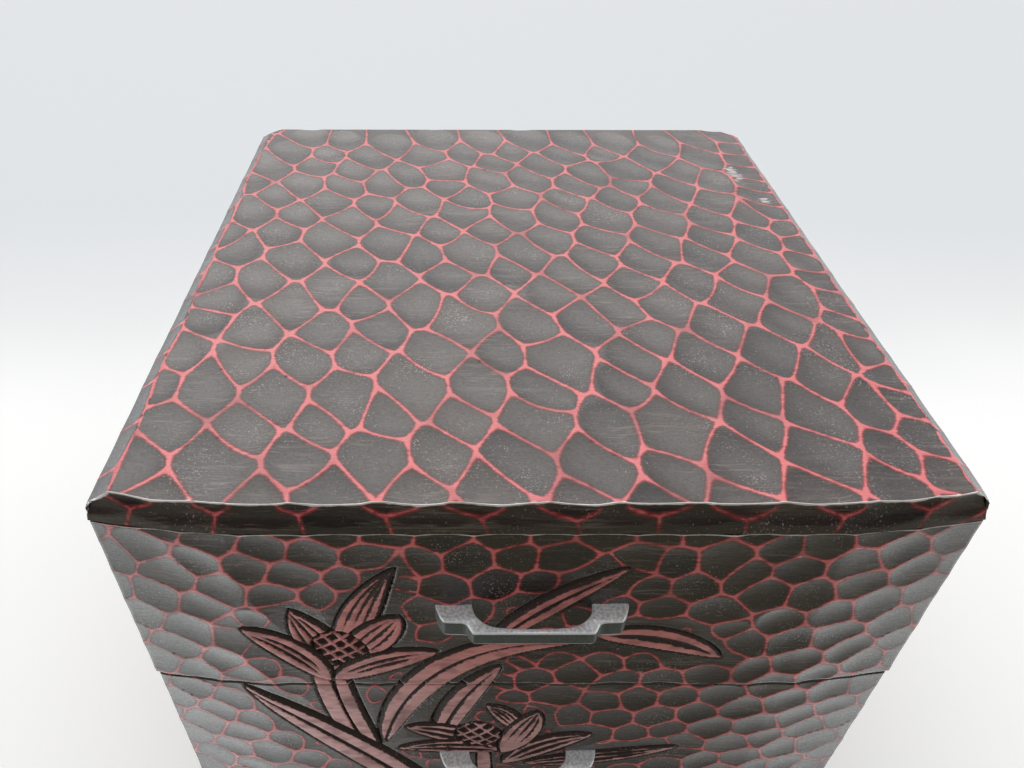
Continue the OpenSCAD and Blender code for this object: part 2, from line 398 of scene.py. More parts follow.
@dataclass(frozen=True)
class Groove:
    """A dark cut along a blade, which tapers to both its ends.

    Attributes:
        side: Where it lies across the rubbed part of the blade, from -1 on the right to 1 on the left.
        half: Half its greatest width.
        start: Where it starts, as a share of the blade's length.
        end: Where it ends.
        depth: Its depth.
    """

    side: float
    half: float
    start: float = 0.1
    end: float = 0.86
    depth: float = 0.6

    # How far its width runs out below nothing at both ends, and how bluntly it does
    point = 0.3
    taper_power = 0.6

    def within(self, t: Array, across: Array, half: Array) -> Array:
        """How far points lie inside the cut.

        Args:
            t: Share of the blade's length.
            across: Distance to the left of the middle of the rubbed part.
            half: Half width of the rubbed part.

        Returns:
            The distance inside, below 0 outside.
        """
        s = np.clip((t - self.start) / (self.end - self.start), 0.0, 1.0)
        taper = (4.0 * s * (1.0 - s)) ** self.taper_power
        return (self.half + self.point) * taper - self.point - np.abs(across - self.side * half)


SLITS = (Groove(0.28, 0.62, 0.08, 0.9), Groove(-0.28, 0.6, 0.14, 0.82))
DARK = (Groove(0.42, 0.85, 0.02, 0.95), Groove(-0.4, 0.8, 0.05, 0.9))
MIDRIB = (Groove(0.0, 0.55, -0.3, 1.02, 0.75),)
RIB = (Groove(0.0, 0.85, -0.3, 1.02, 0.75),)
LENS = (Groove(0.0, 1.25, 0.06, 0.92, 0.5),)
RAYS = (Groove(0.52, 0.42, 0.15, 0.95, 0.45), Groove(0.0, 0.5, 0.25, 1.0, 0.5),
        Groove(-0.5, 0.42, 0.2, 0.93, 0.45))
PLAIN = ()


@dataclass(frozen=True)
class Blade:
    """A petal, leaf or stalk: a lens along a bent spine, in millimetres on the front.

    The spine is the quadratic curve b0 (1 - t)^2 + 2 b1 t (1 - t) + b2 t^2 from base over bend to tip. Its
    half width is t^a (1 - t)^b over its own greatest value, times half_width, with a = roundness times widest
    and b = roundness times (1 - widest). Between its dark flanks, walls wide on the left and the right, it is
    rubbed, and cut by grooves.
    """

    grooves: Sequence[Groove]
    base: Point
    bend: Point
    tip: Point
    half_width: float
    widest: float = 0.45
    roundness: float = 1.25
    walls: Point = (0.3, 0.3)
    knots: int = 36

    # Height of the rubbed part, fall and run of the outer edge, slope of the flanks and the greatest share of
    # the half width that they take, and width of a groove's rim
    lip = -0.25
    edge_fall = 0.35
    edge_run = 0.4
    wall_slope = 0.75
    most_wall = 0.8
    groove_rim = 0.2

    def spine(self) -> Array:
        """Points along the spine."""
        t = np.linspace(0.0, 1.0, self.knots)[:, None]
        b0, b1, b2 = (np.array(p) for p in (self.base, self.bend, self.tip))
        return b0 * (1 - t) ** 2 + 2 * b1 * t * (1 - t) + b2 * t ** 2

    def reach(self) -> tuple[Array, Array]:
        """Corners of the box that holds the blade."""
        points = self.spine()
        return points.min(0) - self.half_width, points.max(0) + self.half_width

    def half_at(self, t: Array) -> Array:
        """Half width at the share t of the spine."""
        a, b = self.roundness * self.widest, self.roundness * (1.0 - self.widest)
        most = self.widest ** a * (1.0 - self.widest) ** b
        return self.half_width * t ** a * (1.0 - t) ** b / most

    def at(self, points: Array) -> Shape:
        """The blade at a set of points."""
        spine = self.spine()
        start, run = spine[:-1], np.diff(spine, axis=0)
        q = points[:, None, :] - start
        share = np.clip((q * run).sum(-1) / (run * run).sum(-1), 0.0, 1.0)
        off = q - share[..., None] * run
        near = np.argmin((off * off).sum(-1), axis=1)
        row = np.arange(len(points))
        off, share, run = off[row, near], share[row, near], run[near]
        t = (near + share) / (self.knots - 1)
        r = length(off)
        half = self.half_at(t)
        left = run[:, 0] * off[:, 1] - run[:, 1] * off[:, 0] > 0
        height, red = self.section(t, np.where(left, r, -r), half)
        return Shape(r - half, off / np.maximum(r, TINY)[:, None], height, red)

    def section(self, t: Array, across: Array, half: Array) -> tuple[Array, Array]:
        """Cross section of the blade.

        Args:
            t: Share of the spine.
            across: Distance to the left of the spine.
            half: Half width there.

        Returns:
            Height over the face, and distance inside the red.
        """
        inside = half - np.abs(across)
        wall = np.minimum(np.where(across > 0, self.walls[0], self.walls[1]), self.most_wall * half)
        middle = across - 0.5 * (self.walls[1] - self.walls[0])
        rubbed = np.maximum(half - 0.5 * (self.walls[0] + self.walls[1]), TINY)
        height = self.lip - self.wall_slope * np.clip(wall - inside, 0.0, None)
        height = height - self.edge_fall * np.clip(1.0 - inside / self.edge_run, 0.0, 1.0)
        red = inside - wall
        for groove in self.grooves:
            within = groove.within(t, middle, rubbed)
            share = (within + self.groove_rim) / (groove.half + self.groove_rim)
            height = height - groove.depth * np.clip(share, 0.0, 1.0)
            red = np.minimum(red, -within)
        return height, red


@dataclass(frozen=True)
class Pod:
    """The seed head: a rounded lozenge with rows of small square dimples.

    Its outline is |a / long|^p + |b / wide|^p = 1, and the ribs between the dimples lie on a square net.
    """

    middle: Point
    turn_deg: float
    long_half: float
    wide_half: float
    pitch: float = 2.9
    power: float = 2.5

    # Half width of the ribs, where their sides start and end, depth of the dimples, rise of the dome, width
    # of the rim without red, height of the middle, and fall and run of the outer edge
    rib_half = 0.3
    rib_slope = (0.18, 0.8)
    dimple_depth = 0.9
    dome = 0.5
    rim = 0.3
    lip = -0.1
    edge_fall = 0.5
    edge_run = 0.5

    def reach(self) -> tuple[Array, Array]:
        """Corners of the box that holds the pod."""
        middle, most = np.array(self.middle), max(self.long_half, self.wide_half)
        return middle - most, middle + most

    def at(self, points: Array) -> Shape:
        """The pod at a set of points."""
        turn = math.radians(self.turn_deg)
        q = points - np.array(self.middle)
        a = q[:, 0] * math.cos(turn) + q[:, 1] * math.sin(turn)
        b = q[:, 1] * math.cos(turn) - q[:, 0] * math.sin(turn)
        shares = np.abs(a / self.long_half) ** self.power + np.abs(b / self.wide_half) ** self.power
        ring = shares ** (1 / self.power)
        r = length(q)
        inside = r * (1.0 / np.maximum(ring, TINY) - 1.0)
        half = 0.5 * self.pitch
        net = np.minimum(*(half - np.abs(np.mod(c, self.pitch) - half) for c in (a, b)))
        height = self.lip - self.dome * ring ** 2 - self.dimple_depth * smooth_step(*self.rib_slope, net)
        height = height - self.edge_fall * np.clip(1.0 - inside / self.edge_run, 0.0, 1.0)
        red = np.minimum(self.rib_half - net, inside - self.rim)
        return Shape(-inside, q / np.maximum(r, TINY)[:, None], height, red)


@dataclass
class Spray:
    """The carved flowers and leaves, from the rearmost shape to the foremost."""

    shapes: Sequence[Union[Blade, Pod]]
    margin: float = 9.0
    line_half: float = 0.3
    lap_fall: float = 0.7
    lap_run: float = 0.6

    def over(self, points: Array) -> tuple[Array, Array, Array, Relief]:
        """Lay the shapes over each other.

        Args:
            points: Points on the front.

        Returns:
            Distance outside the spray, direction away from it, whether a point is inside it, and its relief.
            The relief's crease is the nearest outline that shows.
        """
        count = len(points)
        out, away = np.full(count, FAR), np.zeros((count, 2))
        height, red = np.zeros(count), np.full(count, -FAR)
        crease, step = np.full(count, FAR), np.zeros((count, 2))
        inside = np.zeros(count, bool)
        for shape in self.shapes:
            low, high = shape.reach()
            near = np.flatnonzero(((points > low - self.margin) & (points < high + self.margin)).all(1))
            if len(near) == 0:
                continue
            here = shape.at(points[near])
            within = here.out < 0.0
            closer = (here.out < crease[near]) & ~within
            take = within | closer
            crease[near[take]] = np.abs(here.out[take])
            step[near[take]] = -here.out[take, None] * here.away[take]
            nearest = here.out < out[near]
            out[near[nearest]] = here.out[nearest]
            away[near[nearest]] = here.away[nearest]
            lap = inside[near] & ~within
            red[near[lap]] = np.minimum(red[near[lap]], here.out[lap] - self.line_half)
            height[near[lap]] -= self.lap_fall * np.clip(1.0 - here.out[lap] / self.lap_run, 0.0, 1.0)
            inside[near[within]] = True
            height[near[within]], red[near[within]] = here.height[within], here.red[within]
        return out, away, inside, Relief(height, red, np.full(count, 0.5), crease, step, inside.astype(float))


@dataclass
class SprayGround(Ground):
    """Ground with a spray carved into it.

    Round the spray runs a belt of long cuts, floor + curve d^2 / 2 high at the distance d from the outlines.
    It meets the round cuts in a ridge where the two are level.
    """

    spray: Spray = field(default_factory=lambda: Spray([]))
    belt_floor: float = 0.04
    belt_curve: float = 0.024
    groove_depth: float = 0.6
    groove_run: float = 0.5
    clear: float = 1.1

    def relief(self, points: Array) -> Relief:
        """The carving at points of the face."""
        out, away, inside, laid = self.spray.over(points)
        d = np.maximum(out, 0.0)
        belt = self.belt_floor + 0.5 * self.belt_curve * d * d
        low = self.cuts.lowest(points).beside(belt, (self.belt_curve * d)[:, None] * away)
        under = low.number[:, 0] < 0
        ridge, step = low.towards(1)
        red = np.minimum(self.rubbing.red(low), d - self.clear)
        groove = self.groove_depth * np.clip(1.0 - d / self.groove_run, 0.0, 1.0)
        height = np.where(inside, laid.height, np.minimum(low.height[:, 0] - self.depth, 0.0) - groove)
        tone = np.where(inside | under, 0.5, self.cuts.tone[low.number[:, 0]])
        outline = inside | (laid.crease < ridge)
        return Relief(height, np.where(inside, laid.red, red), tone, np.where(outline, laid.crease, ridge),
                      np.where(outline[:, None], laid.step, step), np.where(inside, 1.0, 0.5 * under))


def carved_grid(ground: Ground, us: Array, vs: Array) -> tuple[Array, Relief]:
    """Points of a grid on a carved face, with those next to a ridge or an outline drawn onto it.

    Args:
        ground: The carving.
        us: Stations along a row.
        vs: Stations of the rows.

    Returns:
        The points, row by row, and the relief at them.
    """
    u, v = np.meshgrid(us, vs)
    points = np.stack([u.ravel(), v.ravel()], -1)
    first = ground.relief(points)
    near = SNAP_SHARE * np.broadcast_to(np.gradient(us), u.shape).ravel()
    move = np.where((first.crease < near)[:, None], first.step, 0.0).reshape(u.shape + (2,))
    move[[0, -1], :, 1] = 0.0
    move[:, [0, -1], 0] = 0.0
    points = points + move.reshape(-1, 2)
    return points, ground.relief(points)


def loft(name: str, rings: Array, layers: dict[str, Array], crease: Array,
         flip: bool = False) -> bpy.types.Object:
    """Close a stack of rings into a solid, with a flat face on the first and the last ring.

    Args:
        name: Name of the piece.
        rings: Points, ring by ring, turning left as seen from the last ring.
        layers: Values per point, ring by ring.
        crease: Distance of each point from a crease.
        flip: Whether the rings turn right instead.

    Returns:
        The closed piece.
    """
    rows, columns = rings.shape[:2]
    sides = grid_triangles(rows, columns, crease.ravel(), closed=True)
    first = np.arange(columns)[None, ::-1]
    last = (rows - 1) * columns + np.arange(columns)[None]
    faces = [sides, first, last]
    if flip:
        faces = [f[:, ::-1] for f in faces]
    return new_piece(name, rings.reshape(-1, 3), faces, {k: v.ravel() for k, v in layers.items()})


@dataclass
class FrontPlan:
    """Plan of the chest's front: flat in its middle, falling back at both ends.

    Beyond flat_half from the middle the front falls back by fall ((|x| - flat_half) / run)^power.
    """

    middle_y: float
    half_width: float
    fall: float
    flat_half: float = 63.0
    power: float = 1.3

    def y(self, x: Array) -> Array:
        """Place of the front at x."""
        t = np.maximum(np.abs(x) - self.flat_half, 0.0) / (self.half_width - self.flat_half)
        return self.middle_y + self.fall * t ** self.power

    def outward(self, x: Array) -> Array:
        """Unit vector out of the front at x, as X and Y."""
        reach = self.half_width - self.flat_half
        t = np.maximum(np.abs(x) - self.flat_half, 0.0) / reach
        slope = np.sign(x) * self.fall * self.power * t ** (self.power - 1.0) / reach
        return np.stack([slope, -np.ones_like(x)], -1) / np.sqrt(1.0 + slope * slope)[:, None]


@dataclass
class DrawerFront:
    """A carved drawer front.

    Attributes:
        node: The CAD node that it stands for.
        body: The drawer that it rides on.
        plan: Plan of the chest's front.
        ground: Carving of the front, in X and Z.
        wear_and_highlight: How pale its lower and its upper edge are painted, a painted highlight along them.
        spray_x: Stretch across the front that holds the spray, with a finer grid.
        steps: Grid step across it, across the rest, and up the front.
        arris: Width of the broken edge round the face.
        calm: Between these distances from the middle the cuts grow flatter.
        calm_share: By how much they do.
        calm_red: By how much the red grows narrower there.
    """

    node: str
    body: Body
    plan: FrontPlan
    ground: Ground
    wear_and_highlight: Point
    spray_x: Point = (-74.0, 48.0)
    steps: tuple[float, float, float] = (0.3, 0.6, 0.43)
    arris: float = 0.16
    calm: Point = (72.0, 90.0)
    calm_share: float = 0.6
    calm_red: float = 0.22

    def build(self, finish: bpy.types.Material) -> None:
        """Make the front and dress it.

        Args:
            finish: Its lacquer.
        """
        low, high = node_box(self.node)
        fine, coarse, rise = self.steps
        (left, right), ends = self.spray_x, (low[0] + self.arris, high[0] - self.arris)
        xs = np.concatenate([span(ends[0], left, coarse)[:-1], span(left, right, fine),
                             span(right, ends[1], coarse)[1:]])
        zs = span(low[2] + self.arris, high[2] - self.arris, rise)
        points, relief = carved_grid(self.ground, xs, zs)
        shape = (len(zs), len(xs))
        outward = self.plan.outward(points[:, 0])
        calm = smooth_step(*self.calm, np.abs(points[:, 0]))
        height = relief.height * (1.0 - self.calm_share * calm)
        face = np.stack([points[:, 0] + outward[:, 0] * height,
                         self.plan.y(points[:, 0]) + outward[:, 1] * height, points[:, 1]], -1)
        face = face.reshape(shape + (3,))
        rings = self.closed_rings(face, low, high)
        layers = {"red_mm": self.padded(relief.red - self.calm_red * calm, shape, -1.0),
                  "cell_tone": self.padded(relief.tone, shape, 0.5),
                  "motif": self.padded(relief.motif, shape, 0.0)}
        # The rows by the lower and the upper edge are painted pale: a painted highlight where the edges catch
        # the light.
        layers["wear_and_highlight"] = np.zeros(rings.shape[:2])
        layers["wear_and_highlight"][1, 1:-3] = self.wear_and_highlight[0]
        layers["wear_and_highlight"][-2, 1:-3] = self.wear_and_highlight[1]
        piece = loft(self.node + "_carved", rings, layers, self.padded(relief.crease, shape, 0.0))
        stand_for(piece, self.node, self.body, finish)

    def closed_rings(self, face: Array, low: Array, high: Array) -> Array:
        """Rings round the board: the carved row in front, then the broken corners and the back corners."""
        left, right = face[:, :1].copy(), face[:, -1:].copy()
        left[..., 0], right[..., 0] = low[0], high[0]
        left[..., 1] += self.arris
        right[..., 1] += self.arris
        back_right, back_left = right.copy(), left.copy()
        back_right[..., 1] = back_left[..., 1] = high[1]
        rows = np.concatenate([left, face, right, back_right, back_left], axis=1)
        first, last = rows[:1].copy(), rows[-1:].copy()
        first[..., 2], last[..., 2] = low[2], high[2]
        for ring in (first, last):
            ring[:, :-2, 1] += self.arris
        return np.concatenate([first, rows, last], axis=0)

    def padded(self, values: Array, shape: tuple[int, int], corner: float) -> Array:
        """Values on the rings: those of the face, repeated on its broken edges, and corner at the back."""
        rows = np.pad(values.reshape(shape), ((1, 1), (1, 1)), mode="edge")
        return np.pad(rows, ((0, 0), (0, 2)), constant_values=corner)


@dataclass
class SidePanel:
    """A carved side panel with the rebate for the back panel.

    Attributes:
        node: The CAD node that it stands for.
        ground: Carving of the panel, in Y and Z.
        side: 1 on the right, -1 on the left.
        step: Grid step.
    """

    node: str
    ground: Ground
    side: int
    step: float = 0.7

    def build(self, finish: bpy.types.Material) -> None:
        """Make the panel and dress it.

        Args:
            finish: Its lacquer.
        """
        low, high = node_box(self.node)
        panel_low, panel_high = node_box("back_panel")
        ys, zs = span(low[1], high[1], self.step), span(low[2], high[2], self.step)
        points, relief = carved_grid(self.ground, ys, zs)
        shape = (len(zs), len(ys))
        outer = max(abs(low[0]), abs(high[0]))
        inner = min(abs(low[0]), abs(high[0]))
        face = np.stack([outer + relief.height, points[:, 0], points[:, 1]], -1).reshape(shape + (3,))
        corners = np.array([[panel_high[0], high[1]], [panel_high[0], panel_low[1]], [inner, panel_low[1]],
                            [inner, low[1]]])
        back = np.zeros((len(zs), len(corners), 3))
        back[..., :2] = corners
        back[..., 2] = zs[:, None]
        rings = np.concatenate([face, back], axis=1)
        rings[..., 0] *= self.side
        extra = ((0, 0), (0, len(corners)))
        layers = {"red_mm": np.pad(relief.red.reshape(shape), extra, constant_values=-1.0),
                  "cell_tone": np.pad(relief.tone.reshape(shape), extra, constant_values=0.5)}
        crease = np.pad(relief.crease.reshape(shape), extra)
        piece = loft(self.node + "_carved", rings, layers, crease, flip=self.side < 0)
        stand_for(piece, self.node, Body.CARCASS, finish)


@dataclass
class Rim:
    """The outline of a board with the chest's plan, as a ring that turns left from the front left corner.

    Attributes:
        plan: Plan of the chest's front.
        back_y: The back edge.
        xs: Stations across the board.
        ys: Stations from the front to the back, as shares from 0 to 1.
    """

    plan: FrontPlan
    back_y: float
    xs: Array
    ys: Array

    def border(self) -> Array:
        """Numbers of the border points of a grid of these stations, in the ring's order."""
        index = np.arange(len(self.xs) * len(self.ys)).reshape(len(self.ys), len(self.xs))
        return np.concatenate([index[0, :-1], index[:-1, -1], index[-1, :0:-1], index[:0:-1, 0]])

    def points(self) -> Array:
        """Grid of plan points: X from the stations, Y by shares between the front and the back edge."""
        x = np.broadcast_to(self.xs, (len(self.ys), len(self.xs)))
        front = self.plan.y(self.xs)
        y = front + self.ys[:, None] * (self.back_y - front)
        return np.stack([x, y], -1)

    def ring(self) -> Array:
        """Plan points of the border, in the ring's order."""
        return self.points().reshape(-1, 2)[self.border()]


def inward_of(ring: Array) -> Array:
    """Unit vector into a board at each station of its ring: the ring's direction turned left."""
    run = np.roll(ring, -1, axis=0) - np.roll(ring, 1, axis=0)
    turned = np.stack([-run[:, 1], run[:, 0]], -1)
    return turned / length(turned)[:, None]


def arc_length(ring: Array) -> Array:
    """Distance along a ring from its first station."""
    return np.concatenate([[0.0], np.cumsum(length(np.diff(ring, axis=0)))])


@dataclass(frozen=True)
class EdgeCut:
    """One kind of cut in a row along the edge of a board.

    Attributes:
        pitch: Distance of the cuts.
        down: How far below the upper edge they lie, as a share of the edge's height.
        radii: Radii of a hollow along the edge and down it.
        floor: Height of the middle of a cut over the plane of the edge.
        lean: How much a cut comes out on its way down.
    """

    pitch: float
    down: float
    radii: Point
    floor: float
    lean: float = 0.0

    # Spread of the cuts along the edge, down it, in their direction and in their floor
    spread = (0.9, 0.15, 0.04, 0.06)

    def row(self, start: float, end: float, height: float, rng: np.random.Generator) -> CutField:
        """Cuts of this kind side by side.

        Args:
            start: Arc length where the row starts.
            end: Arc length where it ends.
            height: Height of the edge.
            rng: Source of the small differences between the cuts.

        Returns:
            The cuts, in arc length and depth below the upper edge.
        """
        s = np.arange(start + 0.5 * self.pitch, end, self.pitch)
        shift, drop, turn, rise = (rng.normal(0.0, spread, len(s)) for spread in self.spread)
        centre = np.stack([s + shift, self.down * height + drop], -1)
        slope = np.tile((0.0, self.lean), (len(s), 1))
        return CutField.strokes(centre, turn, self.radii[1], self.radii[0], self.floor + rise,
                                rng.random(len(s)), slope)


@dataclass
class TopBoard:
    """The carved top board.

    Its upper face is a height field over the plan, the lowest of the round cuts and of the long cuts that
    slope its side edges and back corners. Its edges are rings between the border of that field and the
    underside. Along the front edge, dark lenses hang from the upper edge, with scoops that face up between
    and below them.

    Attributes:
        plan: Plan of the chest's front.
        ground: Carving of the upper face, in X and Y.
        rng: Source of the small differences between the cuts of the edges.
        lean: How far the front edge leans back.
        step: Grid step.
        levels: Rings of the edge.
        blend: Width over which the upper face follows the waves of its edges.
        lenses: Cuts along the front edge, under its lip.
        scoops: Cuts between and below them.
        others: Cuts along the other edges.
        rubbing: How the red shows on the ridges of the edges.
        lip_wear_and_glint: How pale the front lip is painted, and how much the rows behind and below it are:
            partly wear, partly a painted highlight where the lip's rounded edge catches the light.
        scuffs: Places where the upper face is rubbed pale, with their half widths in X and Y and the amount.
    """

    plan: FrontPlan
    ground: Ground
    rng: np.random.Generator
    lean: float = 1.4
    step: float = 0.69
    levels: int = 15
    blend: float = 3.0
    lenses: EdgeCut = EdgeCut(17.7, 0.13, (60.0, 2.8), -1.12)
    scoops: EdgeCut = EdgeCut(17.7, 0.64, (60.0, 8.0), -0.45, 0.36)
    others: EdgeCut = EdgeCut(14.5, 0.72, (70.0, 10.0), -0.5)
    rubbing: Rubbing = Rubbing(0.22, 0.2, 1.5)
    lip_wear_and_glint: tuple[float, float, float] = (1.1, 0.62, 0.45)
    scuffs: Sequence[tuple[Point, Point, float]] = (
        ((79.5, 58.0), (4.5, 13.0), 0.6), ((84.5, 38.0), (3.0, 4.0), 0.6), ((75.0, 3.0), (4.0, 6.0), 0.4),
        ((-74.0, -42.0), (5.0, 9.0), 0.33), ((83.0, -20.0), (3.0, 16.0), 0.36))

    def edge_cuts(self, arc: Array, corner: int, height: float) -> CutField:
        """The cuts along the edges.

        Args:
            arc: Arc length at the stations of the ring.
            corner: Number of the station at the end of the front.
            height: Height of the edge.

        Returns:
            The cuts, in arc length and depth below the upper edge.
        """
        front, around = float(arc[corner]), float(arc[-1])
        half = 0.5 * self.scoops.pitch
        lenses = self.lenses.row(0.0, front, height, self.rng)
        scoops = self.scoops.row(-half, front + half, height, self.rng)
        return lenses.joined(scoops).joined(self.others.row(front, around, height, self.rng))

    def build(self, finish: bpy.types.Material) -> None:
        """Make the board and dress it.

        Args:
            finish: Its lacquer.
        """
        low, high = node_box("top_board")
        xs, shares = span(low[0], high[0], self.step), span(0.0, 1.0, self.step / (high[1] - low[1]))
        rim = Rim(self.plan, high[1], xs, shares)
        flat = rim.points()
        border = rim.border()
        ring = rim.ring()
        inward = inward_of(ring)
        arc = arc_length(ring)
        edge = Ground(self.edge_cuts(arc, len(xs) - 1, high[2] - low[2]), self.rubbing, 0.0)

        # The upper edge is drawn in by the edge's cuts, and along the front by its lean
        top_height = edge.relief(np.stack([arc, np.zeros_like(arc)], -1)).height
        front = np.arange(len(ring)) < len(xs)
        draw = -top_height + np.where(front, self.lean, 0.0)
        sheet = self.follow(flat, inward * draw[:, None], border)
        points, relief = self.snapped(sheet)
        upper = np.concatenate([points, (high[2] + relief.height)[:, None]], 1)

        # Rings of the edge, from the border of the upper face down to the underside
        down = np.linspace(0.0, 1.0, self.levels)[1:]
        start = upper[border]
        drop = start[:, 2] - low[2]
        depth = (high[2] - start[:, 2]) + down[:, None] * drop
        waves = edge.relief(np.stack([np.broadcast_to(arc, depth.shape).ravel(), depth.ravel()], -1))
        lean = np.where(front, self.lean, 0.0) * (1.0 - depth / (high[2] - low[2]))
        reach = (-waves.height.reshape(depth.shape) + np.maximum(lean, 0.0))[..., None]
        edge_points = np.concatenate([ring + reach * inward, (high[2] - depth)[..., None]], -1)
        piece = self.closed(upper, edge_points, border, relief, waves)
        stand_for(piece, "top_board", Body.CARCASS, finish)

    def follow(self, flat: Array, draw: Array, border: Array) -> Array:
        """Plan points of the upper face, drawn in along its border and less and less over the blend width."""
        sheet = flat.copy()
        moved = np.zeros_like(flat).reshape(-1, 2)
        moved[border] = draw
        moved = moved.reshape(flat.shape)
        rows, columns = flat.shape[:2]
        near = int(self.blend / self.step)
        fade = np.linspace(1.0, 0.0, near + 1)[:-1]
        sheet[:near, :, 1] += fade[:, None] * moved[0, :, 1]
        sheet[rows - near:, :, 1] += fade[::-1, None] * moved[-1, :, 1]
        sheet[:, :near, 0] += fade * moved[:, :1, 0]
        sheet[:, columns - near:, 0] += fade[::-1] * moved[:, -1:, 0]
        return sheet

    def snapped(self, sheet: Array) -> tuple[Array, Relief]:
        """Plan points with those next to a ridge drawn onto it, and the relief at them."""
        points = sheet.reshape(-1, 2)
        first = self.ground.relief(points)
        near = first.crease < SNAP_SHARE * self.step
        move = np.where(near[:, None], first.step, 0.0).reshape(sheet.shape)
        move[[0, -1], :, :] = 0.0
        move[:, [0, -1], :] = 0.0
        points = points + move.reshape(-1, 2)
        return points, self.ground.relief(points)

    def closed(self, upper: Array, edge_points: Array, border: Array, relief: Relief,
               waves: Relief) -> bpy.types.Object:
        """Join the upper face, the rings of the edge and the underside into one closed piece.

        Args:
            upper: Points of the upper face.
            edge_points: Points of the edge, ring by ring.
            border: Numbers of the upper face's border points.
            relief: Carving of the upper face.
            waves: Carving of the edge.

        Returns:
            The piece.
        """
        rings, around = edge_points.shape[:2]
        count = len(upper)
        index = np.concatenate([border[None], count + np.arange(rings * around).reshape(rings, around)])
        crease = np.concatenate([relief.crease, waves.crease])
        columns = int(np.argmax(np.diff(border) != 1)) + 1
        top = grid_triangles(count // columns, columns, relief.crease)
        local = grid_triangles(rings + 1, around, crease[index].ravel(), closed=True)
        edge = index.ravel()[local][:, ::-1]
        under = index[-1][None, ::-1]
        layers = {"red_mm": np.concatenate([relief.red, waves.red]),
                  "cell_tone": np.concatenate([relief.tone, waves.tone]), "wear_and_highlight": np.zeros(len(crease))}
        points = np.concatenate([upper, edge_points.reshape(-1, 3)])
        for (x, y), (wide, deep), amount in self.scuffs:
            away = ((points[:, 0] - x) / wide) ** 2 + ((points[:, 1] - y) / deep) ** 2
            layers["wear_and_highlight"] += amount * np.exp(-away)
        # The front lip is painted pale, partly as wear and partly as a painted highlight of its rounded edge;
        # the rows behind and below it less so.
        lip, behind, below = self.lip_wear_and_glint
        layers["wear_and_highlight"][:columns] = lip
        layers["wear_and_highlight"][columns:2 * columns] += behind
        layers["wear_and_highlight"][count:][:columns] += below
        return new_piece("top_board_carved", points, [top, edge, under], layers)


@dataclass
class BaseBoard:
    """The base board: the chest's plan with a row of cuts along its edges, as rings from the underside up.

    Attributes:
        plan: Plan of the chest's front.
        rng: Source of the small differences between the cuts.
        step: Distance of the stations.
        levels: Number of rings.
        cut: The cuts along its edges.
        rubbing: How the red shows on their ridges.
    """

    plan: FrontPlan
    rng: np.random.Generator
    step: float = 0.8
    levels: int = 11
    cut: EdgeCut = EdgeCut(14.5, 0.5, (70.0, 10.0), -0.5)
    rubbing: Rubbing = Rubbing(0.15, 0.2, 1.5)

    def build(self, finish: bpy.types.Material) -> None:
        """Make the board and dress it.

        Args:
            finish: Its lacquer.
        """
        low, high = node_box("base_board")
        xs, shares = span(low[0], high[0], self.step), span(0.0, 1.0, self.step / (high[1] - low[1]))
        rim = Rim(self.plan, high[1], xs, shares)
        ring = rim.ring()
        arc = arc_length(ring)
        zs = np.linspace(low[2], high[2], self.levels)
        a, z = np.meshgrid(arc, high[2] - zs)
        cuts = self.cut.row(0.0, float(arc[-1]), high[2] - low[2], self.rng)
        waves = Ground(cuts, self.rubbing, 0.0).relief(np.stack([a.ravel(), z.ravel()], -1))
        shape = a.shape
        plan = ring - waves.height.reshape(shape)[..., None] * inward_of(ring)
        rings = np.concatenate([plan, np.broadcast_to(zs[:, None, None], shape + (1,))], -1)
        layers = {"red_mm": waves.red, "cell_tone": waves.tone}
        piece = loft("base_board_carved", rings, layers, waves.crease)
        stand_for(piece, "base_board", Body.CARCASS, finish)


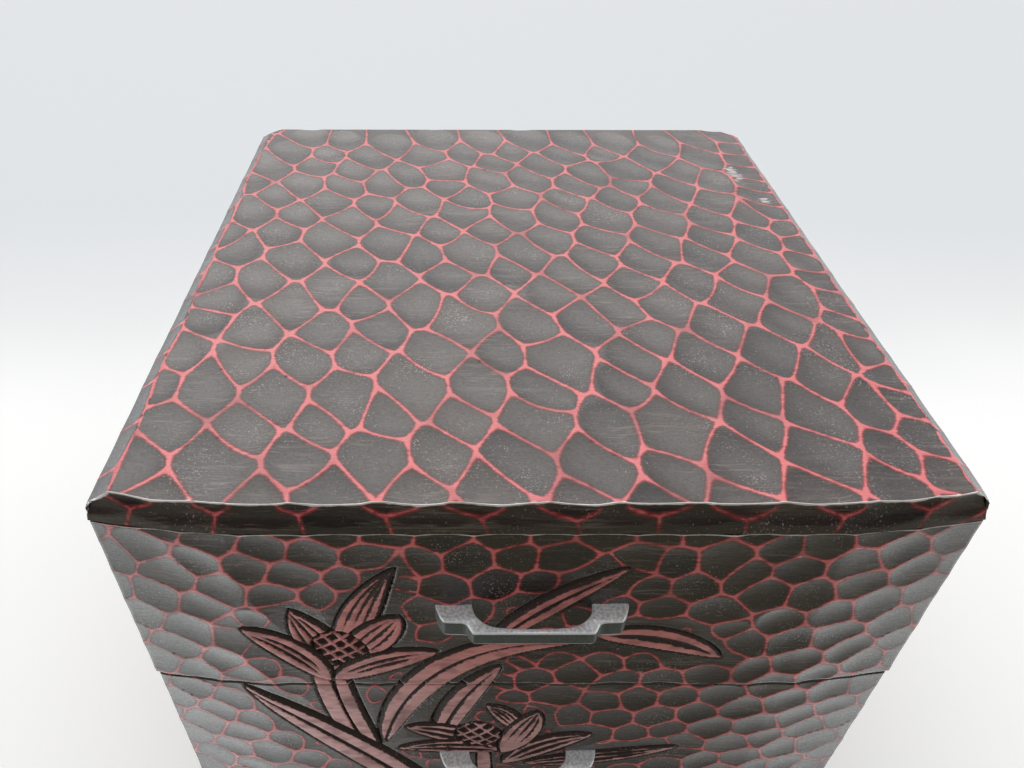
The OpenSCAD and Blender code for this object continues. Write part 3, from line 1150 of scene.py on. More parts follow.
@dataclass
class Pull:
    """A cast pull: rounded rectangles along a bar that steps back into a foot at each end.

    The section at a station spans from the outer to the inner line of the plan. Each corner is a quarter
    circle of corner_r, and the height grows from the bar to the feet.

    Attributes:
        node: The CAD node that it stands for.
        body: The drawer that it rides on.
        outer: Right half of the outer line: X, and how far out of the front.
        inner: Right half of the inner line, station by station beside the outer one.
        bar_height: Height of the bar.
        foot_height: Height of the feet.
        foot_run: Between these distances from the middle the height grows.
        corner_r: Radius of its corners.
        stations: Sections in one half.
        arc_points: Points of a corner.
        soften: Stations over which its lines are softened.
    """

    node: str
    body: Body
    outer: Sequence[Point] = ((0.0, 6.75), (7.0, 6.75), (11.0, 6.75), (12.9, 6.75), (13.5, 6.0), (14.3, 4.55),
                              (15.3, 4.25), (17.4, 4.2), (19.3, 4.1), (20.3, 2.6), (21.2, 0.0), (21.2, -1.2))
    inner: Sequence[Point] = ((0.0, 5.35), (5.2, 5.3), (8.2, 5.0), (9.6, 4.5), (10.4, 4.15), (11.2, 3.6),
                              (11.8, 3.1), (12.3, 2.5), (12.7, 1.8), (12.9, 1.0), (13.1, 0.0), (13.1, -1.2))
    bar_height: float = 3.95
    foot_height: float = 4.8
    foot_run: Point = (11.0, 14.0)
    corner_r: float = 0.5
    stations: int = 90
    arc_points: int = 6
    soften: int = 5

    def line(self, half: Sequence[Point]) -> Array:
        """A whole line of the plan: the half line at even shares, mirrored and softened."""
        share = np.linspace(0.0, len(half) - 1.0, self.stations)
        points = np.stack([np.interp(share, np.arange(len(half)), c) for c in np.array(half).T], -1)
        kernel = np.ones(self.soften) / self.soften
        edge = self.soften // 2
        full = np.concatenate([points[:0:-1] * (-1.0, 1.0), points])
        padded = np.pad(full, ((edge, edge), (0, 0)), mode="edge")
        return np.stack([np.convolve(c, kernel, mode="valid") for c in padded.T], -1)

    def build(self, finish: bpy.types.Material) -> None:
        """Make the pull and dress it.

        Args:
            finish: Its metal.
        """
        low, high = node_box(self.node)
        outer, inner = self.line(self.outer), self.line(self.inner)
        across = outer - inner
        wide = length(across)
        mid = 0.5 * (outer + inner)
        rise = smooth_step(*self.foot_run, np.abs(mid[:, 0]))
        tall = self.bar_height + (self.foot_height - self.bar_height) * rise
        turn = np.linspace(0.0, 0.5 * math.pi, self.arc_points)
        angle = (turn[None] + 0.5 * math.pi * np.arange(4)[:, None]).ravel()
        corner_a = np.repeat([1.0, -1.0, -1.0, 1.0], self.arc_points)
        corner_b = np.repeat([1.0, 1.0, -1.0, -1.0], self.arc_points)
        a = corner_a * (0.5 * wide[:, None] - self.corner_r) + self.corner_r * np.cos(angle)
        b = corner_b * (0.5 * tall[:, None] - self.corner_r) + self.corner_r * np.sin(angle)
        away = -across / wide[:, None]
        plan = mid[:, None, :] + a[..., None] * away[:, None, :]
        middle_z = 0.5 * (low[2] + high[2])
        rings = np.stack([plan[..., 0], high[1] - plan[..., 1], middle_z + b], -1)
        # The metal reads these to paint its edges bright and its upward faces pale: painted highlights
        layers = {"edge": np.broadcast_to(np.abs(np.sin(2.0 * angle)), a.shape),
                  "upper": np.broadcast_to(np.sin(angle), a.shape)}
        piece = loft(self.node + "_cast", rings, layers, np.ones(a.shape), flip=True)
        stand_for(piece, self.node, self.body, finish)


Socket = bpy.types.NodeSocket
Value = Union[float, Sequence[float], Socket]


class Graph:
    """A node tree with short calls for the nodes in use here."""

    def __init__(self, tree: bpy.types.NodeTree) -> None:
        """Take a node tree."""
        self.tree = tree

    def add(self, kind: str, **settings: object) -> bpy.types.Node:
        """Add a node.

        Args:
            kind: Its type.
            settings: Properties to set on it.

        Returns:
            The node.
        """
        node = self.tree.nodes.new(kind)
        for key, value in settings.items():
            setattr(node, key, value)
        return node

    def feed(self, socket: Socket, value: Value) -> None:
        """Link a socket to the output socket of another node, or set its value."""
        if isinstance(value, Socket):
            self.tree.links.new(value, socket)
        else:
            socket.default_value = value

    def math(self, operation: str, *values: Value) -> Socket:
        """An operation on values.

        Args:
            operation: Name of the operation.
            values: Its operands.

        Returns:
            The result.
        """
        node = self.add("ShaderNodeMath", operation=operation)
        for socket, value in zip(node.inputs, values):
            self.feed(socket, value)
        return node.outputs[0]

    def plus(self, first: Value, second: Value) -> Socket:
        """The sum of two values."""
        return self.math("ADD", first, second)

    def minus(self, first: Value, second: Value) -> Socket:
        """The difference of two values."""
        return self.math("SUBTRACT", first, second)

    def times(self, first: Value, second: Value) -> Socket:
        """The product of two values."""
        return self.math("MULTIPLY", first, second)

    def scaled(self, vector: Value, factors: Value) -> Socket:
        """A vector times factors, axis by axis."""
        node = self.add("ShaderNodeVectorMath", operation="MULTIPLY")
        self.feed(node.inputs[0], vector)
        self.feed(node.inputs[1], factors)
        return node.outputs[0]

    def axes(self, vector: Value) -> Sequence[Socket]:
        """The X, Y and Z of a vector."""
        node = self.add("ShaderNodeSeparateXYZ")
        self.feed(node.inputs[0], vector)
        return tuple(node.outputs)

    def mix(self, share: Value, low: Value, high: Value) -> Socket:
        """A colour between low and high.

        Args:
            share: Share of high.
            low: Colour at 0.
            high: Colour at 1.

        Returns:
            The mixed colour.
        """
        node = self.add("ShaderNodeMix", data_type="RGBA")
        for index, value in ((0, share), (6, low), (7, high)):
            self.feed(node.inputs[index], (*value, 1.0) if isinstance(value, tuple) else value)
        return node.outputs[2]

    def noise(self, vector: Value, scale: Value, detail: float) -> Socket:
        """Soft noise from 0 to 1 with about scale waves in a metre."""
        node = self.add("ShaderNodeTexNoise")
        for name, value in (("Vector", vector), ("Scale", scale), ("Detail", detail)):
            self.feed(node.inputs[name], value)
        return node.outputs[0]

    def uneven(self, vector: Value, scale: Value, detail: float, amount: float) -> Socket:
        """Noise about 0, amount wide in all."""
        return self.times(self.minus(self.noise(vector, scale, detail), 0.5), amount)

    def ramp(self, value: Value, low: Value, high: Value, to_low: float = 0.0,
             to_high: float = 1.0) -> Socket:
        """Map a value smoothly from the range low to high onto another range.

        Args:
            value: Value to map.
            low: Start of its range.
            high: End of its range.
            to_low: Result at the start.
            to_high: Result at the end.

        Returns:
            The mapped value.
        """
        node = self.add("ShaderNodeMapRange", interpolation_type="SMOOTHSTEP")
        for index, item in enumerate((value, low, high, to_low, to_high)):
            self.feed(node.inputs[index], item)
        return node.outputs[0]

    def attribute(self, name: str) -> Socket:
        """A value per point of the mesh."""
        return self.add("ShaderNodeAttribute", attribute_name=name).outputs["Fac"]

    def object_place(self) -> Socket:
        """Place on the piece, in metres."""
        return self.add("ShaderNodeTexCoord").outputs["Object"]

    def call(self, group: bpy.types.NodeTree, **inputs: Value) -> Socket:
        """Use a node group.

        Args:
            group: The group.
            inputs: Its inputs by name.

        Returns:
            Its first output.
        """
        node = self.add("ShaderNodeGroup", node_tree=group)
        for key, value in inputs.items():
            self.feed(node.inputs[key], value)
        return node.outputs[0]


def new_group(name: str, inputs: dict[str, str]) -> tuple[Graph, dict[str, Socket], bpy.types.Node]:
    """Start a node group with one value as its output.

    Args:
        name: Name of the group.
        inputs: Socket types by name.

    Returns:
        Its graph, its inputs inside the group, and its output node.
    """
    tree = bpy.data.node_groups.new(name, "ShaderNodeTree")
    for key, kind in inputs.items():
        tree.interface.new_socket(name=key, in_out="INPUT", socket_type=kind)
    tree.interface.new_socket(name="Mask", in_out="OUTPUT", socket_type="NodeSocketFloat")
    graph = Graph(tree)
    start = graph.add("NodeGroupInput")
    return graph, {key: start.outputs[key] for key in inputs}, graph.add("NodeGroupOutput")


def grain_group() -> bpy.types.NodeTree:
    """Fine lines: two noises that the Stretch draws out along the grain, in a mask from 0 to 1."""
    graph, given, end = new_group("grain_lines", {"Place": "NodeSocketVector", "Stretch": "NodeSocketVector",
                                                  "Waves": "NodeSocketFloat"})
    place = graph.scaled(given["Place"], given["Stretch"])
    fine = graph.noise(place, given["Waves"], 3.0)
    broad = graph.noise(place, graph.times(given["Waves"], 0.23), 2.0)
    both = graph.plus(graph.times(fine, 0.6), graph.times(broad, 0.4))
    graph.feed(end.inputs[0], graph.ramp(both, 0.32, 0.68))
    return graph.tree


def speck_group() -> bpy.types.NodeTree:
    """Specks of dust and rubbed pores: the tops of a fine noise, more of them where a broad noise is high."""
    graph, given, end = new_group("specks", {"Place": "NodeSocketVector", "Waves": "NodeSocketFloat",
                                             "Share": "NodeSocketFloat"})
    fine = graph.noise(given["Place"], given["Waves"], 1.0)
    broad = graph.uneven(given["Place"], graph.times(given["Waves"], 0.03), 2.0, 0.5)
    level = graph.plus(fine, broad)
    floor = graph.minus(0.9, given["Share"])
    graph.feed(end.inputs[0], graph.ramp(level, floor, graph.plus(floor, 0.06)))
    return graph.tree


@dataclass(frozen=True)
class Shared:
    """The node groups that the finishes share."""

    grain: bpy.types.NodeTree
    specks: bpy.types.NodeTree


class Finish:
    """A procedural material: a subclass wires it in dress()."""

    name = "finish"

    def __init__(self, shared: Shared) -> None:
        """Make the material."""
        self.shared = shared
        self.material = bpy.data.materials.new(self.name)
        self.material.use_nodes = True
        self.graph = Graph(self.material.node_tree)
        self.shader = next(n for n in self.material.node_tree.nodes if n.type == "BSDF_PRINCIPLED")
        self.dress()

    def dress(self) -> None:
        """Wire the material."""
        raise NotImplementedError

    def bump(self, height: Value, strength: float, depth_mm: float) -> None:
        """Small unevenness of the surface.

        Args:
            height: Height mask.
            strength: Strength of the effect.
            depth_mm: Depth that the mask spans.
        """
        node = self.graph.add("ShaderNodeBump")
        self.graph.feed(node.inputs["Strength"], strength)
        self.graph.feed(node.inputs["Distance"], depth_mm * MM)
        self.graph.feed(node.inputs["Height"], height)
        self.graph.feed(self.shader.inputs["Normal"], node.outputs[0])

    def set(self, **values: Value) -> None:
        """Feed sockets of the shader, named with underscores for spaces."""
        for key, value in values.items():
            self.graph.feed(self.shader.inputs[key.replace("_", " ")], value)


class CarvedLacquer(Finish):
    """Dark lacquer over red: the red is rubbed through along the ridges, and the wood's grain telegraphs,
    partly as bump and partly as pale streaks that paint the grain's sheen. Scuffs are rubbed pale, and the
    top's front lip and the fronts' edges are painted pale as painted highlights.

    The masks that its methods share: inside is how far a point lies in the red, in millimetres and with a
    ragged edge, red is where the red shows, spray is 1 on the carved spray, and flank is 1 on its dark cuts.
    """

    name = "carved_lacquer"
    darkest: Colour = (0.005, 0.002, 0.0015)
    brown: Colour = (0.040, 0.018, 0.010)
    grain_sheen: Colour = (0.20, 0.16, 0.14)
    bare: Colour = (0.045, 0.025, 0.02)
    deep_red: Colour = (0.47, 0.055, 0.06)
    pale_red: Colour = (0.86, 0.20, 0.21)
    pink: Colour = (0.95, 0.55, 0.545)
    rose: Colour = (0.88, 0.32, 0.305)
    # Pale of the rubbed scuffs, also used for the painted highlights on the top's front lip and the fronts'
    # edges
    rubbed: Colour = (0.94, 0.88, 0.86)
    dust: Colour = (0.60, 0.53, 0.52)

    def dress(self) -> None:
        """Wire the material."""
        g = self.graph
        place = g.object_place()
        grain = g.call(self.shared.grain, Place=place, Stretch=(0.06, 1.0, 1.0), Waves=2000.0)
        specks = g.call(self.shared.specks, Place=place, Waves=2400.0, Share=0.2)
        ragged = g.uneven(g.scaled(place, (0.35, 1.0, 1.0)), 1100.0, 4.0, 0.85)
        inside = g.plus(g.plus(g.attribute("red_mm"), ragged), g.uneven(place, 130.0, 2.0, 0.5))
        spray = g.ramp(g.attribute("motif"), 0.6, 0.9)
        red = g.times(g.ramp(inside, -0.12, 0.14), self.strength_of_red(place, spray))
        flank = g.times(spray, g.minus(1.0, red))
        dark = g.mix(flank, self.lacquer(place, inside, grain), self.bare)
        colour = g.mix(red, dark, self.rubbed_red(place, inside, spray, ragged))
        # Pale where scuffed, and painted highlights along the top's front lip and the fronts' edges
        wear_and_highlight = g.ramp(g.plus(g.attribute("wear_and_highlight"), ragged), 0.4, 0.75)
        colour = g.mix(g.times(specks, 0.45), g.mix(wear_and_highlight, colour, self.rubbed), self.dust)
        rough = g.plus(g.plus(g.times(grain, 0.12), g.times(specks, 0.25)), g.times(flank, 0.4))
        self.set(Base_Color=colour, Roughness=g.plus(rough, 0.22), IOR=1.5,
                 Coat_Weight=self.coat(place, inside, flank), Coat_IOR=1.5, Coat_Roughness=0.24)
        self.bump(g.plus(grain, g.times(g.noise(place, 260.0, 3.0), 1.5)), 0.1, 0.12)

    def strength_of_red(self, place: Socket, spray: Socket) -> Socket:
        """How well the red shows: fainter in places, and finely mottled on the spray."""
        g = self.graph
        mottle = g.ramp(g.noise(g.scaled(place, (0.5, 1.0, 1.0)), 420.0, 4.0), 0.36, 0.6, 0.6, 1.0)
        faint = g.ramp(g.noise(place, 70.0, 2.0), 0.3, 0.5, 0.5, 1.0)
        return g.times(faint, g.mix(spray, (1.0, 1.0, 1.0), mottle))

    def lacquer(self, place: Socket, inside: Socket, grain: Socket) -> Socket:
        """Colour of the lacquer: nearly black, redder where thin beside the red, and streaked paler along the
        grain, in
        patches and on the belt round the spray: partly the grain, partly a painted sheen of it.
        """
        g = self.graph
        tone = g.plus(g.times(g.attribute("cell_tone"), 0.5), g.times(grain, 0.5))
        thin = g.times(g.ramp(inside, -0.6, 0.0), 0.35)
        dark = g.mix(thin, g.mix(tone, self.darkest, self.brown), self.deep_red)
        # Pale streaks along the grain: partly the grain, partly a painted sheen, stronger on the belt round
        # the spray as painted reflection
        patches = g.times(g.ramp(g.noise(place, 38.0, 2.0), 0.4, 0.62), 0.5)
        belt = g.ramp(g.attribute("motif"), 0.2, 0.45, 0.0, 0.25)
        return g.mix(g.times(g.ramp(grain, 0.6, 0.95), g.plus(patches, belt)), dark, self.grain_sheen)

    def rubbed_red(self, place: Socket, inside: Socket, spray: Socket, ragged: Socket) -> Socket:
        """Colour of the red: paler in the middle of a line and on the spray, there the more so low down."""
        g = self.graph
        core = g.ramp(g.plus(inside, g.times(g.noise(place, 240.0, 3.0), 0.3)), 0.12, 0.6)
        height = g.plus(g.axes(place)[2], g.times(ragged, 0.02))
        petal = g.mix(g.ramp(height, 0.07, 0.11), self.pink, self.rose)
        return g.mix(g.times(spray, 0.85), g.mix(core, self.deep_red, self.pale_red), petal)

    def coat(self, place: Socket, inside: Socket, flank: Socket) -> Socket:
        """Weight of the clear coat: none on the dark cuts, less on and beside the red, and finely pored."""
        g = self.graph
        fringe = g.times(g.ramp(inside, -0.8, -0.2), g.ramp(inside, 0.0, 0.12, 0.55, 0.0))
        weight = g.times(g.minus(1.0, flank), g.minus(1.0, fringe))
        for share in (g.ramp(g.noise(place, 2400.0, 2.0), 0.36, 0.6, 0.52, 1.0),
                      g.ramp(g.attribute("cell_tone"), 0.0, 1.0, 0.84, 1.0),
                      g.ramp(inside, -0.05, 0.15, 1.0, 0.4), g.ramp(inside, -4.5, -0.6, 1.0, 0.82)):
            weight = g.times(weight, share)
        return weight


class PlainLacquer(Finish):
    """Plain dark lacquer for the boards that are not carved, with the wood's grain telegraphing."""

    name = "plain_lacquer"
    darkest: Colour = (0.010, 0.006, 0.004)
    brown: Colour = (0.055, 0.026, 0.016)

    def dress(self) -> None:
        """Wire the material."""
        g = self.graph
        place = g.object_place()
        grain = g.call(self.shared.grain, Place=place, Stretch=(0.06, 1.0, 1.0), Waves=900.0)
        specks = g.call(self.shared.specks, Place=place, Waves=1600.0, Share=0.12)
        self.set(Base_Color=g.mix(grain, self.darkest, self.brown), IOR=1.75,
                 Roughness=g.plus(g.times(g.plus(grain, specks), 0.12), 0.3))
        self.bump(grain, 0.2, 0.12)


class BoxWood(Finish):
    """Pale sawn wood of the drawer boxes, with its grain along Y."""

    name = "box_wood"
    stretch: Sequence[float] = (1.0, 0.05, 1.0)
    early: Colour = (0.50, 0.33, 0.18)
    late: Colour = (0.30, 0.17, 0.08)
    waves: float = 420.0

    def dress(self) -> None:
        """Wire the material."""
        g = self.graph
        place = g.object_place()
        grain = g.call(self.shared.grain, Place=place, Stretch=self.stretch, Waves=self.waves)
        pores = g.call(self.shared.grain, Place=place, Stretch=self.stretch, Waves=4.0 * self.waves)
        share = g.plus(g.times(grain, 0.7), g.times(pores, 0.3))
        self.set(Base_Color=g.mix(share, self.early, self.late),
                 Roughness=g.ramp(pores, 0.0, 1.0, 0.55, 0.75))
        self.bump(pores, 0.3, 0.1)


class CrossWood(BoxWood):
    """The same wood with its grain along X, for the drawer backs and bottoms."""

    name = "box_wood_cross"
    stretch = (0.05, 1.0, 1.0)


class PegWood(BoxWood):
    """Darker split wood of the pegs and dowels."""

    name = "peg_wood"
    early = (0.36, 0.21, 0.10)
    late = (0.20, 0.10, 0.045)
    waves = 900.0


class CastMetal(Finish):
    """Grey cast metal, mottled by its casting: painted pale on its upward faces, a painted highlight of the
    light from above, and bright along its edges, partly rubbed metal and partly a painted highlight.
    """

    name = "cast_metal"
    dull: Colour = (0.085, 0.10, 0.098)
    mid: Colour = (0.175, 0.195, 0.19)
    pale: Colour = (0.95, 0.965, 0.98)
    bright: Colour = (0.98, 0.985, 0.99)

    def dress(self) -> None:
        """Wire the material."""
        g = self.graph
        place = g.object_place()
        cast = g.noise(place, 1500.0, 4.0)
        brushed = g.call(self.shared.grain, Place=place, Stretch=(1.0, 0.12, 0.6), Waves=2600.0)
        # Bright along the edges: partly rubbed metal, partly a painted highlight
        rubbed = g.ramp(g.plus(g.attribute("edge"), g.times(cast, 0.5)), 0.45, 0.95)
        speckle = g.times(g.plus(cast, brushed), 0.5)
        body = g.mix(speckle, self.dull, self.mid)
        # Upward faces painted pale, mottled by the casting: a painted highlight of the light from above
        wear_and_highlight = g.times(g.ramp(g.attribute("upper"), 0.3, 0.95), g.ramp(cast, 0.35, 0.62, 0.62, 1.0))
        body = g.mix(wear_and_highlight, body, self.pale)
        self.set(Base_Color=g.mix(rubbed, body, self.bright), Metallic=0.5,
                 Roughness=g.minus(g.ramp(cast, 0.3, 0.7, 0.42, 0.58), g.times(rubbed, 0.12)))
        self.bump(g.plus(cast, brushed), 0.25, 0.06)


class ScrewSteel(Finish):
    """Plated steel of the screws and washers, with turning marks."""

    name = "screw_steel"
    dull: Colour = (0.42, 0.42, 0.41)
    bright: Colour = (0.62, 0.62, 0.60)

    def dress(self) -> None:
        """Wire the material."""
        g = self.graph
        place = g.object_place()
        marks = g.call(self.shared.grain, Place=place, Stretch=(1.0, 1.0, 1.0), Waves=2400.0)
        self.set(Base_Color=g.mix(marks, self.dull, self.bright), Metallic=1.0,
                 Roughness=g.ramp(marks, 0.0, 1.0, 0.28, 0.42))


class PaleFloor(Finish):
    """The plain pale floor: painted darker away from the chest, a painted shade, and glowing near the chest,
    a painted light, with a faint unevenness of tone.
    """

    name = "pale_floor"
    far: Colour = (0.825, 0.855, 0.88)
    near: Colour = (0.985, 0.995, 0.985)
    glow: Colour = (0.98, 1.0, 0.98)

    def dress(self) -> None:
        """Wire the material."""
        g = self.graph
        place = g.object_place()
        depth = g.plus(g.axes(place)[1], g.times(g.noise(place, 5.0, 3.0), 0.06))
        # Near the chest the floor glows: painted light that lifts its shade there
        lit = g.mix(g.ramp(depth, 0.08, 0.25, 1.0, 0.0), (0.0, 0.0, 0.0), self.glow)
        # Colour paler near the chest and darker far from it: painted shade
        self.set(Base_Color=g.mix(g.ramp(depth, 0.12, 0.36, 1.0, 0.0), self.far, self.near), Roughness=0.7,
                 Emission_Color=lit, Emission_Strength=0.16)


class FrontCard(Finish):
    """The card in front of the chest: painted dark in a fan that widens away from it, a painted shade of the
    floor in front, paler next to the chest, and softly aglow on both sides, a painted light that the fronts
    reflect.

    With s = (x - x0) / (y0 - y), the tangent of the angle at the fan's point, the glow grows from the inner
    to the outer value of s on each side, and fades with the distance from the chest. From below the card is
    clear, so that the floor under it stays as bright as the rest.
    """

    name = "front_card"
    low: Colour = (0.27, 0.26, 0.20)
    high: Colour = (0.32, 0.31, 0.24)
    beside: Colour = (0.72, 0.71, 0.66)
    glow: Colour = (0.91, 0.955, 1.0)
    point: Point = (-0.011, -0.062)
    left: Point = (-0.1, 1.9)
    right: Point = (1.0, 2.4)
    right_share: float = 0.6

    def dress(self) -> None:
        """Wire the material."""
        g = self.graph
        place = g.object_place()
        x, y, _ = g.axes(place)
        ahead = g.minus(self.point[1], y)
        s = g.math("DIVIDE", g.minus(x, self.point[0]), ahead)
        # Glow on both sides of the fan: painted light
        left = g.ramp(g.times(s, -1.0), *self.left)
        right = g.ramp(s, *self.right, 0.0, self.right_share)
        near = g.ramp(ahead, 0.05, 0.25, 1.0, 0.12)
        glow = g.times(g.plus(left, right), near)
        # Dark fan, paler next to the chest: painted shade of the floor in front
        dark = g.mix(g.noise(place, 30.0, 3.0), self.low, self.high)
        dark = g.mix(g.ramp(ahead, 0.06, 0.12, 0.7, 0.0), dark, self.beside)
        under = g.add("ShaderNodeNewGeometry").outputs["Backfacing"]
        self.set(Base_Color=dark, Roughness=0.9, Emission_Color=g.mix(glow, (0.0, 0.0, 0.0), self.glow),
                 Emission_Strength=1.3, Alpha=g.minus(1.0, under))


@dataclass(frozen=True)
class Pose:
    """Where the camera stands, in millimetres and degrees, its lens, and the range it sees, in metres."""

    place: tuple[float, float, float] = (-16.15, -199.07, 262.39)
    pitch_deg: float = 39.095
    yaw_deg: float = 0.355
    roll_deg: float = 0.231
    lens_mm: float = 27.56
    sensor_mm: float = 36.0
    shift_x: float = 0.0488
    clip_m: Point = (0.005, 50.0)

    def matrix(self) -> Matrix:
        """World matrix: the axes right, up and back of the camera, down by pitch, turned by yaw and roll."""
        pitch, yaw, roll = (math.radians(a) for a in (self.pitch_deg, self.yaw_deg, self.roll_deg))
        ahead = Vector((math.sin(yaw) * math.cos(pitch), math.cos(yaw) * math.cos(pitch), -math.sin(pitch)))
        right = Vector((math.cos(yaw), -math.sin(yaw), 0.0))
        up = right.cross(ahead)
        axes = (math.cos(roll) * right + math.sin(roll) * up,
                math.cos(roll) * up - math.sin(roll) * right, -ahead)
        turned = Matrix(axes).transposed().to_4x4()
        return Matrix.Translation(Vector(self.place) * MM) @ turned


@dataclass
class Studio:
    """Floor, light and camera.

    In front of the chest, out of sight, lies a card that the fronts reflect: a painted shade in a dark fan,
    with painted glow at its sides.

    Attributes:
        pose: The camera.
        window: Direction of the soft window behind the chest.
        floor_half: Half the size of the floor.
        card_y: Y of the card's far and near edge.
        card_half: Half its width.
        card_z: Its height over the floor.
    """

    pose: Pose
    window: tuple[float, float, float] = (-0.05, 0.7, 0.712)
    floor_half: float = 3000.0
    card_y: Point = (-2000.0, -106.0)
    card_half: float = 2500.0
    card_z: float = 1.0

    # Light from low and high behind, from the sides, from low in front and from the window, and what shows
    behind_low = (0.78, 0.77, 0.78)
    behind_high = (0.95, 0.95, 0.96)
    aside = (1.2, 1.22, 1.25)
    front_low = (0.13, 0.127, 0.12)
    window_light = (2.5, 2.47, 2.43)
    backdrop = (0.87, 0.89, 0.92)

    def build(self, floor: bpy.types.Material, card: bpy.types.Material) -> None:
        """Set the stage.

        Args:
            floor: Material of the floor.
            card: Material of the card in front.
        """
        half = self.floor_half
        self.lay("floor", half, (-half, half), 0.0, floor)
        self.lay("front_card", self.card_half, self.card_y, self.card_z, card).visible_camera = False
        self.light_sky()
        self.set_camera()
        bpy.context.scene.view_settings.view_transform = "Standard"

    def lay(self, name: str, half: float, ys: Point, height: float,
            finish: bpy.types.Material) -> bpy.types.Object:
        """Lay a flat piece on the floor.

        Args:
            name: Name of the piece.
            half: Half its width.
            ys: Y of its front and back edge.
            height: Its height over the floor.
            finish: Its material.

        Returns:
            The piece.
        """
        points = np.array([(-half, ys[0], height), (half, ys[0], height),
                           (half, ys[1], height), (-half, ys[1], height)])
        piece = new_piece(name, points, [np.arange(len(points))[None]], {})
        piece.data.materials.append(finish)
        return piece

    def light_sky(self) -> None:
        """Soft light from all round: dark low in front, brighter at the sides, brightest behind."""
        world = bpy.data.worlds.new("studio")
        world.use_nodes = True
        bpy.context.scene.world = world
        g = Graph(world.node_tree)
        shade = next(n for n in world.node_tree.nodes if n.type == "BACKGROUND")
        place = g.add("ShaderNodeTexCoord").outputs["Generated"]
        x, y, z = g.axes(place)
        aslant = g.math("ABSOLUTE", g.math("DIVIDE", x, y))
        front = g.times(g.ramp(g.times(y, -1.0), 0.0, 0.3), g.ramp(aslant, 2.0, 8.0, 1.0, 0.0))
        behind = g.mix(g.ramp(z, 0.3, 0.6), self.behind_low, self.behind_high)
        light = g.mix(g.ramp(g.math("ABSOLUTE", x), 0.5, 0.9), behind, self.aside)
        light = g.mix(g.times(front, g.ramp(z, 0.65, 1.0, 1.0, 0.0)), light, self.front_low)
        narrow = g.add("ShaderNodeVectorMath", operation="NORMALIZE")
        g.feed(narrow.inputs[0], g.scaled(place, (0.55, 1.0, 1.0)))
        toward = g.add("ShaderNodeVectorMath", operation="DOT_PRODUCT")
        g.feed(toward.inputs[0], narrow.outputs["Vector"])
        g.feed(toward.inputs[1], self.window)
        window = g.times(g.ramp(toward.outputs["Value"], 0.915, 0.98), g.ramp(x, -0.5, 0.5, 1.0, 0.6))
        light = g.mix(window, light, self.window_light)
        seen = g.add("ShaderNodeLightPath").outputs["Is Camera Ray"]
        g.feed(shade.inputs["Color"], g.mix(seen, light, self.backdrop))

    def set_camera(self) -> None:
        """The camera of the photo."""
        data = bpy.data.cameras.new("camera")
        data.lens = self.pose.lens_mm
        data.sensor_width = self.pose.sensor_mm
        data.shift_x = self.pose.shift_x
        data.clip_start, data.clip_end = self.pose.clip_m
        camera = bpy.data.objects.new("camera", data)
        camera.matrix_world = self.pose.matrix()
        bpy.context.scene.collection.objects.link(camera)
        bpy.context.scene.camera = camera


def staggered(low: Point, high: Point, pitch: Point) -> Array:
    """Sites in rows, every second row moved by half a pitch.

    Args:
        low: Lowest corner to cover.
        high: Highest corner to cover.
        pitch: Distance in a row, and distance of the rows.

    Returns:
        The sites.
    """
    columns, rows = (np.arange(math.ceil((h - l) / p) + 1) for l, h, p in zip(low, high, pitch))
    i, j = np.meshgrid(columns, rows)
    x = low[0] + (i + 0.5 * (j % 2)) * pitch[0]
    return np.stack([x.ravel(), (low[1] + j * pitch[1]).ravel()], -1)


def slope_cuts(start: Point, end: Point, inward: Point, drops: Point, rng: np.random.Generator) -> CutField:
    """Long flat cuts that slope an edge of the top, side by side along it.

    Args:
        start: Where the row starts on the edge.
        end: Where it ends.
        inward: Unit vector from the edge into the board.
        drops: How far the slope takes the edge down at the start and at the end of the row.
        rng: Source of the small differences between the cuts.

    Returns:
        The cuts.
    """
    pitch, steep, inset, across_r, along_r = 13.0, 0.7, 2.0, 130.0, 30.0
    run = np.array(end) - np.array(start)
    count = max(1, int(round(math.hypot(*run) / pitch)))
    share = (np.arange(count) + 0.5) / count + rng.normal(0.0, 0.1, count) / count
    centre = np.array(start) + share[:, None] * run + inset * np.array(inward)
    floor = steep * inset - np.interp(share, (0.0, 1.0), drops) + rng.normal(0.0, 0.06, count)
    heading = np.full(count, math.atan2(inward[1], inward[0]))
    slope = np.tile(steep * np.array(inward), (count, 1))
    return CutField.strokes(centre, heading, across_r, along_r, floor, rng.random(count), slope)


